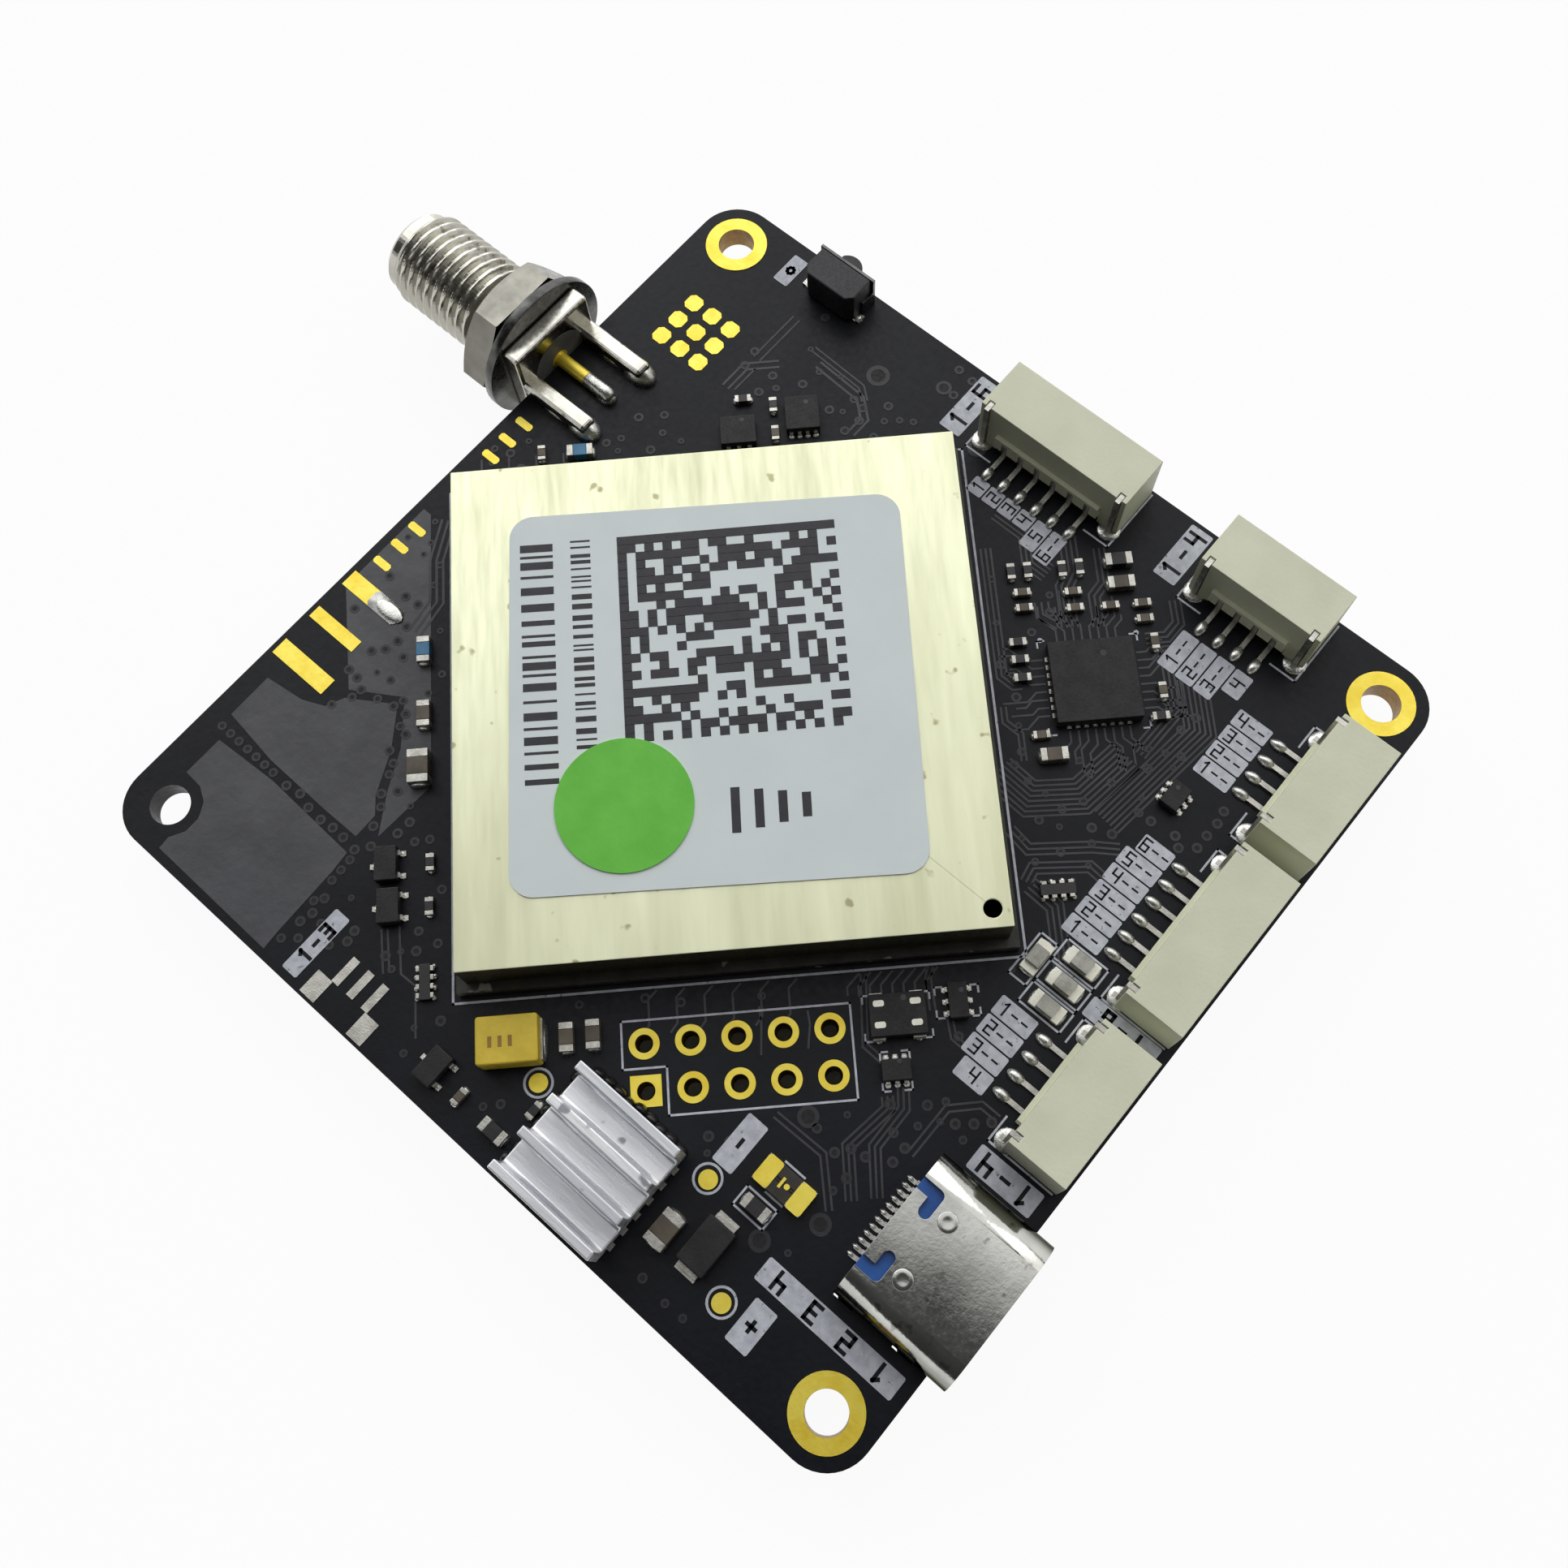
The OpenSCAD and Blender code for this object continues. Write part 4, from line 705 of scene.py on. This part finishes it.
def make_copper():
    copper, pours, rings, drills, bare = Batch(), Batch(), Batch(), Batch(), Batch()
    low, high = TOP, TOP + 0.02

    def run(path, count=1, pitch=0.3, width=0.12, ends=(low, high)):
        """A number of traces side by side."""
        for i in range(count):
            copper.stroke(beside(path, i * pitch), width, *ends)

    def via(at, size=0.3):
        rings.ring(at, size * 0.5, size, low, TOP + 0.026, 14)
        rings.ring(at, size * 0.5, size, -0.026, 0.0, 14)
        # The near-black discs paint the shade inside the hole, on both faces of the board.
        drills.disc(at, size * 0.52, low, TOP + 0.014, 12)
        drills.disc(at, size * 0.52, -0.014, 0.0, 12)

    # Panels of copper pour on the left of the board; their lighter colour is partly the pour's tone and partly painted
    # sheen.
    for outline in (
            [(-26.24, -18.76), (-26.27, -15.78), (-23.69, -15.43), (-22.35, -14.84), (-21.8, -13.71), (-19.1, -11.98),
             (-17.34, -14.26), (-16.08, -16.75), (-15.24, -17.63), (-15.2, -19.2), (-17.83, -19.25), (-22.35, -19.2)],
            [(-21.33, -20.0), (-14.9, -20.2), (-14.75, -21.54), (-14.6, -25.9), (-14.5, -27.1), (-23.4, -27.0),
             (-23.47, -26.23), (-22.97, -25.35), (-22.97, -24.35), (-23.47, -23.47), (-24.35, -22.97), (-25.6, -22.9),
             (-25.6, -20.3)],
            [(-27.0, -1.9), (-26.4, -1.9), (-14.0, -14.3), (-14.2, -18.4), (-15.7, -16.2), (-17.0, -13.8),
             (-19.1, -11.4), (-22.0, -13.2), (-27.0, -8.6)]):
        pours.prism(outline, TOP, TOP + 0.012)
    for path, count, pitch in (
            ([(-20, 16), (-12, 8), (-12, -14), (-4, -22)], 5, 0.4),
            ([(20, 18), (12, 10), (12, -6), (20, -14)], 6, -0.4),
            ([(-8, 22), (4, 22), (10, 16), (10, 4)], 4, -0.4),
            ([(-22, -6), (-16, -6), (-8, 2), (6, 2)], 3, 0.4)):
        run(path, count, pitch, 0.16, (-0.02, 0.0))
    for path, *rest in (
            ([(17.82, -9.68), (18.63, -10.6), (18.68, -13.11), (20.39, -15.0)], 3, -0.3),
            ([(17.43, -10.57), (18.0, -11.11), (17.6, -14.03), (19.45, -15.98)], 3, -0.3),
            ([(13.27, -15.22), (16.62, -15.14), (18.77, -17.2)], 2, -0.34),
            ([(11.9, -6.65), (14.55, -9.63), (15.99, -9.65)], 2),
            ([(14.45, -3.91), (14.77, -4.52), (16.09, -5.73)], 2),
            ([(17.08, -5.48), (17.93, -6.19), (19.24, -6.22)], 2),
            ([(19.9, -12.35), (19.91, -9.14), (21.3, -7.7), (22.5, -7.7)], 2, -0.35),
            ([(8.8, -11.61), (9.48, -12.19), (10.63, -13.52)],),
            ([(10.98, -10.06), (11.57, -10.54), (12.35, -11.6)],),
            ([(-25.62, -1.68), (-24.25, -4.11), (-22.34, -6.02), (-21.97, -8.12)], 3, 0.4, 0.16),
            ([(-10.2, -22.05), (-8.33, -23.75)], 2, 0.35),
            ([(-9.59, -21.23), (-7.56, -23.11), (-6.46, -23.06), (-4.4, -25.11)],),
            ([(-17.94, 19.2), (-17.92, 23.08)], 2, 0.5),
            ([(-17.77, 18.6), (-17.79, 16.63)],),
            ([(-15.88, 21.88), (-11.84, 21.7), (-11.05, 21.07)], 2, 0.35),
            ([(-17.0, 20.0), (-18.6, 18.4), (-18.6, 16.4)], 2, 0.45, 0.16),
            ([(-14.9, 21.6), (-11.2, 21.4), (-9.9, 20.3), (-9.9, 18.9)], 2, -0.45, 0.16)):
        run(path, *rest)
    for path, *rest in (
            ([(26.62, -0.43), (26.59, -3.3), (20.76, -7.94)], 7, 0.29),
            ([(16.35, -4.37), (17.65, -5.83), (19.78, -5.91), (22.4, -3.93)], 8, -0.3),
            ([(16.1, -8.4), (16.9, -9.5), (20.33, -9.67), (21.9, -9.95)], 3, -0.32),
            ([(16.1, -11.5), (16.7, -10.6), (20.18, -10.8), (21.23, -12.01)], 3, -0.32),
            ([(16.2, 9.0), (16.2, 0.6), (17.0, -0.2), (17.6, -0.2)], 3, 0.3),
            ([(16.2, -1.2), (16.2, -2.2), (17.0, -3.0), (17.0, -4.6)], 2, 0.3),
            ([(16.2, -12.2), (17.3, -13.4), (17.3, -16.6)], 4, 0.32),
            ([(19.0, 5.2), (19.0, 4.2), (20.1, 3.4)], 3, 0.4),
            ([(23.4, -4.4), (25.9, -2.0), (25.9, 1.4)], 4, -0.3),
            ([(17.1, 11.0), (18.6, 9.5), (18.6, 7.6), (19.6, 6.6)], 5, 0.3),
            ([(21.0, 9.6), (21.0, 7.2), (20.4, 6.2), (20.4, 3.4)], 4, 0.32),
            ([(23.6, 8.4), (23.6, 6.0), (22.9, 5.2), (22.9, 3.3)], 3, -0.32),
            ([(25.2, 2.0), (26.6, 2.0), (27.6, 3.0), (27.6, 4.6)], 3, 0.32)):
        run(module_path(path), *rest)
    for i in range(8):
        u = 6.6 + 0.62 * i
        run(module_path([(u, -16.0), (u - 0.75, -16.75), (u - 0.75, -17.2 - 0.1 * (i % 3))]))
    for i in range(6):
        u = -4.6 + 1.55 * i
        run(module_path([(u, -16.0), (u - 0.5, -16.5), (u - 0.5, -17.9), (u - 0.9, -18.4)]))
    for i in range(5):
        u = -14.6 + 1.7 * i
        run(module_path([(u, 16.0), (u + 0.7, 16.7), (u + 0.7, 17.9)]))
    chance = random.Random(11)
    for side in range(4):
        for i in range(8):
            a = (i - 3.5) * 0.5
            out = 3.0 + chance.uniform(0.35, 0.8)
            lean = (1 if a > 0 else -1) * chance.uniform(0.3, 1.0)
            far = out + abs(lean)
            points = [(2.75, a), (out, a), (far, a + lean), (far + chance.uniform(0.3, 1.5), a + lean)]
            turned = [swing(p, side * math.pi / 2) for p in points]
            run(module_path([(NETWORK_CHIP[0] + x, NETWORK_CHIP[1] + y) for x, y in turned]))

    known = [
        (-20.49, -19.69), (-19.51, -19.51), (-18.54, -19.78), (-17.47, -19.83), (-16.58, -19.71), (-15.7, -19.72),
        (-14.68, -19.8), (-13.94, -22.89), (-13.85, -23.92), (-14.04, -24.69), (-15.89, -16.47), (-15.27, -15.75),
        (-13.41, -16.61), (-13.47, -17.53), (-14.85, -18.13), (-14.1, -19.07), (-8.94, -22.96), (-7.81, -21.65),
        (-4.03, -23.52), (-11.29, -23.09), (-11.17, -23.77), (20.46, 10.82), (21.01, 10.36), (21.81, 11.03),
        (21.81, 11.96), (21.85, 12.92), (21.71, 13.74), (17.68, 8.61), (16.58, 8.18), (18.9, 10.63), (20.91, -9.56),
        (21.67, -8.92), (22.34, -8.24), (19.66, -12.27), (19.62, -13.24), (18.29, -15.46), (-7.79, 26.72),
        (-6.65, 26.6), (-6.93, 25.08), (-10.72, 20.74), (-12.25, 19.33), (-18.63, 19.54), (-18.44, 18.38),
        (-16.59, 18.92), (-16.5, 17.48), (-16.79, 24.3), (-25.48, -9.33), (-23.67, -6.78), (-22.72, -6.68),
        (-25.39, -6.46), (-22.9, -12.3), (-22.16, -12.35), (-21.42, -12.73), (-22.16, -9.98), (-21.97, -9.14),
        (-20.96, -9.66), (-19.2, -12.21), (-18.29, -12.11), (-17.39, -13.0), (-17.4, -14.32),
    ]
    for at in known:
        via(at, 0.31)
    taken = [(x, y, 0.8) for x, y in known]
    for name in ("capacitor_bodies", "resistor_bodies", "inductor_bodies", "small_chip_bodies", "transistor_bodies",
                 "lamp_bodies", "tantalum_body", "diode_body", "fuse_body", "network_chip", "test_pads", "antenna_pads",
                 "spare_socket_pads", "button_body", "heatsink", "usb_shell", "header_pads", "power_input_terminals"):
        for points in islands(name):
            at = middle(points)
            reach = max(math.dist(at[:2], p[:2]) for p in points)
            taken.append((at[0], at[1], reach + 0.75))
    for path in ([(-26.1, -19.6), (-15.0, -19.7)], [(-14.45, -20.4), (-14.2, -25.6)],
                 [(-26.5, -15.5), (-23.7, -15.1), (-22.1, -14.5), (-21.5, -13.4), (-19.0, -11.6), (-17.0, -14.1),
                  (-15.75, -16.6), (-14.95, -17.5), (-14.8, -19.2)]):
        for a, b in zip(path, path[1:]):
            steps = max(1, round(math.dist(a, b) / 0.75))
            for i in range(steps):
                at = (a[0] + (b[0] - a[0]) * i / steps, a[1] + (b[1] - a[1]) * i / steps)
                if all(math.dist(at, t[:2]) > t[2] - 0.2 for t in taken):
                    via(at, 0.28)
                    taken.append((*at, 0.85))

    def free(x, y):
        """Whether a small via may stand at a point."""
        u, v = module_axes(x, y)
        on_module = abs(u) < 16.4 and abs(v) < 16.4
        on_header = abs(u + 0.35) < 6.9 and abs(v + 20.15) < 3.2
        on_socket = (x < -21.5 and 6.5 < y < 16 or x > 18.2 and y > -8.2 or y > 18.2 and -3 < x < 19
                     or x > 17.4 and y < -20.7)
        on_pour = x < -14.2 and y < -11.4
        at_dots = x < -16.0 and y > 12.5
        at_hole = math.dist((abs(x), abs(y)), (HOLE, HOLE)) < 3.0
        if on_module or on_header or on_socket or on_pour or at_dots or at_hole:
            return False
        return all(math.dist((x, y), t[:2]) >= t[2] for t in taken)

    tries = placed = 0
    while placed < 130 and tries < 6000:
        tries += 1
        x, y = chance.uniform(-26.6, 22.0), chance.uniform(-26.6, 22.0)
        if free(x, y):
            via((x, y), chance.choice((0.2, 0.24, 0.28, 0.31)))
            taken.append((x, y, 0.85))
            placed += 1
    for at, size in (((-11.46, 23.15), 0.75), ((-3.48, 23.09), 0.62), ((18.75, -18.13), 0.6),
                     ((16.85, -20.81), 0.6), ((14.69, -14.35), 0.6), ((-7.73, 25.1), 0.5)):
        rings.ring(at, size * 0.62, size, low, TOP + 0.026)
        drills.disc(at, size * 0.63, low, TOP + 0.012)

    for i in range(3):
        for j in range(3):
            bare.bar((-22.45 + (i - 1) * 1.55, 18.2 + (j - 1) * 1.55), (1.1, 1.1), low, TOP + 0.03, corner=0.25)
    for start in (2.7, -6.8):
        for i in range(3):
            bare.bar((-26.35, start + 0.65 + i * 1.5), (1.25, 0.5), low, TOP + 0.03, corner=0.12)
    pours.piece("copper_pours_and_painted_sheen", pour_tone_and_painted_sheen, "solder_mask")
    copper.piece("traces", grey_tone_and_painted_highlight, "solder_mask")
    rings.piece("via_rings", mask_ring, "solder_mask")
    drills.piece("via_holes", painted_hole_shade, "solder_mask")
    bare.piece("bare_gold", gold, "gold_plating")


def make_plating():
    """Lips and walls of the plated holes."""
    lips, walls = Batch(), Batch()
    for at in ((-HOLE, HOLE), (HOLE, -HOLE), (HOLE, HOLE)):
        walls.ring(at, 1.15, 1.199, 0.02, TOP + 0.04, 40)
        lips.ring(at, 1.2, 1.9, -0.03, 0.0, 40)
        lips.ring(at, 1.16, 1.42, TOP, TOP + 0.052, 40)
    for points in islands("header_pads"):
        at = middle(points)
        walls.ring(at, 0.45, 0.499, 0.02, TOP + 0.045, 24)
        lips.ring(at, 0.5, 0.85, -0.03, 0.0, 24)
    lips.piece("ring_lips", gold, "gold_plating")
    walls.piece("hole_walls", plated_wall, "gold_plating")


# Print on the label

def make_label_print():
    print_ink = Batch()
    turn = math.radians(45 - 1.1)
    low, high = LABEL_TOP, LABEL_TOP + 0.012
    cells, pitch = 24, 0.528
    chance = random.Random(2024)
    left, upper = -5.25, 9.75
    for row in range(cells):
        start = None
        for column in range(cells + 1):
            if column == cells:
                dark = False
            elif column == 0 or row == 0:
                dark = True
            elif column == cells - 1:
                dark = row % 2 == 0
            elif row == cells - 1:
                dark = column % 2 == 0
            else:
                dark = chance.random() < 0.5
            if dark and start is None:
                start = column
            if not dark and start is not None:
                width = (column - start) * pitch
                at = module_point(left + start * pitch + width / 2, upper - (row + 0.5) * pitch)
                print_ink.bar(at, (width + 0.02, pitch + 0.02), low, high, MODULE_TURN)
                start = None
    for u, width, ends, thick in ((-9.95, 1.9, (9.7, -5.5), 0.16), (-7.4, 1.15, (9.75, -3.2), 0.11)):
        v = ends[0]
        while v > ends[1]:
            length = thick * chance.choice((1, 1, 2, 3))
            print_ink.bar(module_point(u, v - length / 2), (width, length), low, high, turn)
            v -= length + thick * chance.choice((1.5, 2.5, 3.5))
    for i in range(4):
        print_ink.bar(module_point(0.6 + i * 1.3, -7.3), (0.5, 2.6 - 0.4 * i), low, high, turn)
    print_ink.piece("label_print", ink_black, "chip_black")


# Marks on single parts

def make_marks():
    strokes, dots, plates = Batch(), Batch(), Batch()
    corners = islands("tantalum_body")[0]
    at = middle(corners)
    high = max(p[2] for p in corners)
    u, v = module_axes(at[0], at[1])
    for i in range(3):
        spot = module_point(u - 0.9 + i * 0.55, v - 0.1)
        strokes.bar(spot, (0.22, 0.6), high - 0.01, high + 0.006, MODULE_TURN)
    strokes.piece("tantalum_marks", tantalum_band, "tantalum_resin")
    for points in islands("small_chip_bodies") + islands("network_chip"):
        at = middle(points)
        high = max(p[2] for p in points)
        reach = max(math.dist(at[:2], p[:2]) for p in points) * 0.5
        dots.disc((at[0] - reach * 0.35, at[1] + reach * 0.9), 0.11 + reach * 0.05, high - 0.01, high + 0.006)
    dots.piece("pin_one_dots", grey_tone_and_painted_highlight, "chip_black")
    for points in islands("power_input_terminals"):
        at = middle(points)
        if math.dist(at[:2], FUSE) < 2.0:
            size = [max(p[i] for p in points) - min(p[i] for p in points) + 0.03 for i in range(2)]
            plates.bar(at, size, TOP + 0.02, max(p[2] for p in points) + 0.015, corner=0.14)
    plates.bar((15.85, FUSE[1]), (0.16, 0.62), TOP + 0.49, TOP + 0.515)
    plates.bar((16.2, FUSE[1]), (0.3, 0.3), TOP + 0.49, TOP + 0.515, corner=0.08)
    plates.piece("fuse_plates", gold, "gold_plating")
    pads, blobs, dents, lumps = Batch(), Batch(), Batch(), Batch()
    body = min(islands("small_chip_bodies"), key=lambda p: math.dist(middle(p)[:2], module_point(*FILTER)))
    high = max(p[2] for p in body)
    for side_u in (-1, 1):
        for side_v in (-1, 1):
            spot = module_point(FILTER[0] + side_u * 1.0, FILTER[1] + 0.05 + side_v * 0.58)
            pads.bar(spot, (0.6, 0.34), high - 0.01, high + 0.012, MODULE_TURN, corner=0.08)
    pads.piece("filter_pads", lamp_end, "tin")
    last = max(islands("antenna_pads"), key=lambda p: middle(p)[1])
    right, upper = max(p[0] for p in last), middle(last)[1]
    span = [max(p[i] for p in last) - min(p[i] for p in last) for i in range(2)]
    top = max(p[2] for p in last)
    blobs.bar((right - span[0] * 0.24, upper), (span[0] * 0.56, span[1] * 1.02), TOP, top + 0.03, corner=0.22)
    blobs.mound((right - span[0] * 0.16, upper), (span[0] * 0.26, span[1] * 0.44), top + 0.02, 0.14)
    blobs.piece("antenna_solder", solder, "tin", smooth=True)
    dent = [(0.58, 0.0), (0.50, 0.010), (0.42, 0.019), (0.35, 0.023), (0.28, 0.020), (0.20, 0.013), (0.10, 0.007),
            (0.0, 0.005)]
    for side in (-1, 1):
        dents.dish((23.7, USB_Y + side * 1.8), SHELL_TOP - 0.004, dent)
    dents.piece("shell_dimples", shell_metal, "shell_metal", smooth=True)
    # Two rows of small dark lumps on the board by the heatsink.
    chance = random.Random(5)
    for i in range(9):
        x = 4.6 + i * 0.75
        lumps.mound((x, -20.0 + chance.uniform(-0.1, 0.1)), (0.5, 0.35), TOP, chance.uniform(0.5, 0.9))
    for i in range(8):
        lumps.mound((3.9 + chance.uniform(-0.15, 0.1), -26.4 + i * 0.8), (0.35, 0.5), TOP, chance.uniform(0.4, 0.8))
    lumps.piece("sink_dark_lumps", dark_lump_black, "chip_black", smooth=True)


make_coax_body()
make_solder()
make_copper()
make_plating()
make_silkscreen()
make_label_print()
make_marks()


# Camera, light and floor

def make_camera():
    data = bpy.data.cameras.new("camera")
    camera = bpy.data.objects.new("camera", data)
    scene.collection.objects.link(camera)
    right = Vector((0.75996929, 0.6493724, -0.02760727))
    up = Vector((-0.60315793, 0.7204365, 0.34230362))
    back = Vector((0.24217181, -0.24348869, 0.93918373))
    turn = Matrix((right, up, back)).transposed().to_4x4()
    camera.matrix_world = Matrix.Translation(Vector((22.2616, -20.0644, 91.2055)) * MM) @ turn
    data.lens = 37.473
    data.sensor_width = 36.0
    data.shift_x = -0.01035
    data.shift_y = -0.04969
    data.clip_start = 0.002
    data.clip_end = 20.0
    scene.camera = camera


def area_light(name, place_mm, target_mm, size_mm, watts, colour=(1, 1, 1)):
    data = bpy.data.lights.new(name, "AREA")
    data.shape = "RECTANGLE"
    data.size = size_mm[0] * MM
    data.size_y = size_mm[1] * MM
    data.energy = watts
    data.color = colour
    light = bpy.data.objects.new(name, data)
    scene.collection.objects.link(light)
    light.location = Vector(place_mm) * MM
    aim = (Vector(target_mm) - Vector(place_mm)).normalized()
    light.rotation_euler = aim.to_track_quat("-Z", "Y").to_euler()


def seen(tree):
    """1 for rays from the camera and for mirrored and transmitted ones, which show the backdrop as white."""
    path = add(tree, "ShaderNodeLightPath")
    direct = maths(tree, "MAXIMUM", path.outputs["Is Camera Ray"], path.outputs["Is Glossy Ray"])
    return maths(tree, "MAXIMUM", direct, path.outputs["Is Transmission Ray"])


def make_floor():
    """A pale round floor that curves up into a low backdrop."""
    floor_z = cad_low.z - 0.00002
    profile = [(0.1, 0.0), (1.0, 0.0), (1.18, 0.02), (1.32, 0.08), (1.42, 0.18), (1.47, 0.32), (1.5, 0.52)]
    sides = 96
    points = [(0.0, 0.0, floor_z)]
    points += [(radius * c, radius * s, floor_z + z) for radius, z in profile for c, s in circle(sides)]
    faces = [(0, 1 + i, 1 + (i + 1) % sides) for i in range(sides)]
    faces += [(1 + a, 1 + d, 1 + c, 1 + b) for a, b, c, d in bands(len(profile), sides)]
    mesh = bpy.data.meshes.new("floor")
    mesh.from_pydata(points, [], faces)
    for polygon in mesh.polygons:
        polygon.use_smooth = True
    floor = bpy.data.objects.new("floor", mesh)
    scene.collection.objects.link(floor)
    for name, shade, scale in (("floor_pale", 0.88, 6), ("backdrop", 0.2, 2)):
        mesh.materials.append(backdrop_material(name, shade, scale))
    for polygon in mesh.polygons[sides * 2:]:
        polygon.material_index = 1


def backdrop_material(name, shade, scale):
    """A pale paper that looks white, apart from the floor right under the board, which keeps its full shade."""
    material = surface(name, grey(shade - 0.02), grey(shade + 0.02), scale, (0.8, 0.9), bump=0.0, specular=0.1)
    tree = material.node_tree
    glow = add(tree, "ShaderNodeEmission", Strength=1.0, Color=(1, 1, 1, 1))
    coords = add(tree, "ShaderNodeTexCoord")
    reach = add(tree, "ShaderNodeVectorMath", operation="LENGTH")
    link(coords.outputs["Object"], reach.inputs[0])
    outside = add(tree, "ShaderNodeMapRange", From_Min=0.023, From_Max=0.027, To_Max=0.94)
    link(reach.outputs["Value"], outside.inputs["Value"])
    mix = add(tree, "ShaderNodeMixShader")
    link(maths(tree, "MULTIPLY", seen(tree), outside.outputs["Result"]), mix.inputs[0])
    link(tree.nodes["Principled BSDF"].outputs[0], mix.inputs[1])
    link(glow.outputs[0], mix.inputs[2])
    link(mix.outputs[0], tree.nodes["Material Output"].inputs["Surface"])
    return material


def make_world():
    """A studio that is bright over the far side of the object and dim over the near side."""
    world = bpy.data.worlds.new("studio")
    scene.world = world
    world.use_nodes = True
    tree = world.node_tree
    sky = tree.nodes["Background"]
    coords = add(tree, "ShaderNodeTexCoord")
    lean = add(tree, "ShaderNodeVectorMath", operation="DOT_PRODUCT")
    lean.inputs[1].default_value = Vector((-0.55, 0.62, 0.56)).normalized()
    link(coords.outputs["Generated"], lean.inputs[0])
    shift = maths(tree, "MULTIPLY_ADD", lean.outputs["Value"], 0.5, 0.5)
    stops = ((0.0, 0.03), (0.60, 0.06), (0.755, 0.08), (0.785, 0.45), (0.82, 0.88), (0.86, 1.0), (1.0, 1.0))
    sweep = ramp(tree, shift, [(at, grey(level)) for at, level in stops])
    link(sweep, sky.inputs["Color"])
    sky.inputs["Strength"].default_value = 1.0


make_camera()
make_floor()
make_world()
area_light("key_softbox", (-350, 250, 255), (0, 0, 0), (760, 640), 1.6)
area_light("fill_softbox", (200, 240, 310), (0, 0, 0), (300, 300), 0.3, (1.0, 0.98, 0.95))
scene.view_settings.view_transform = "Standard"
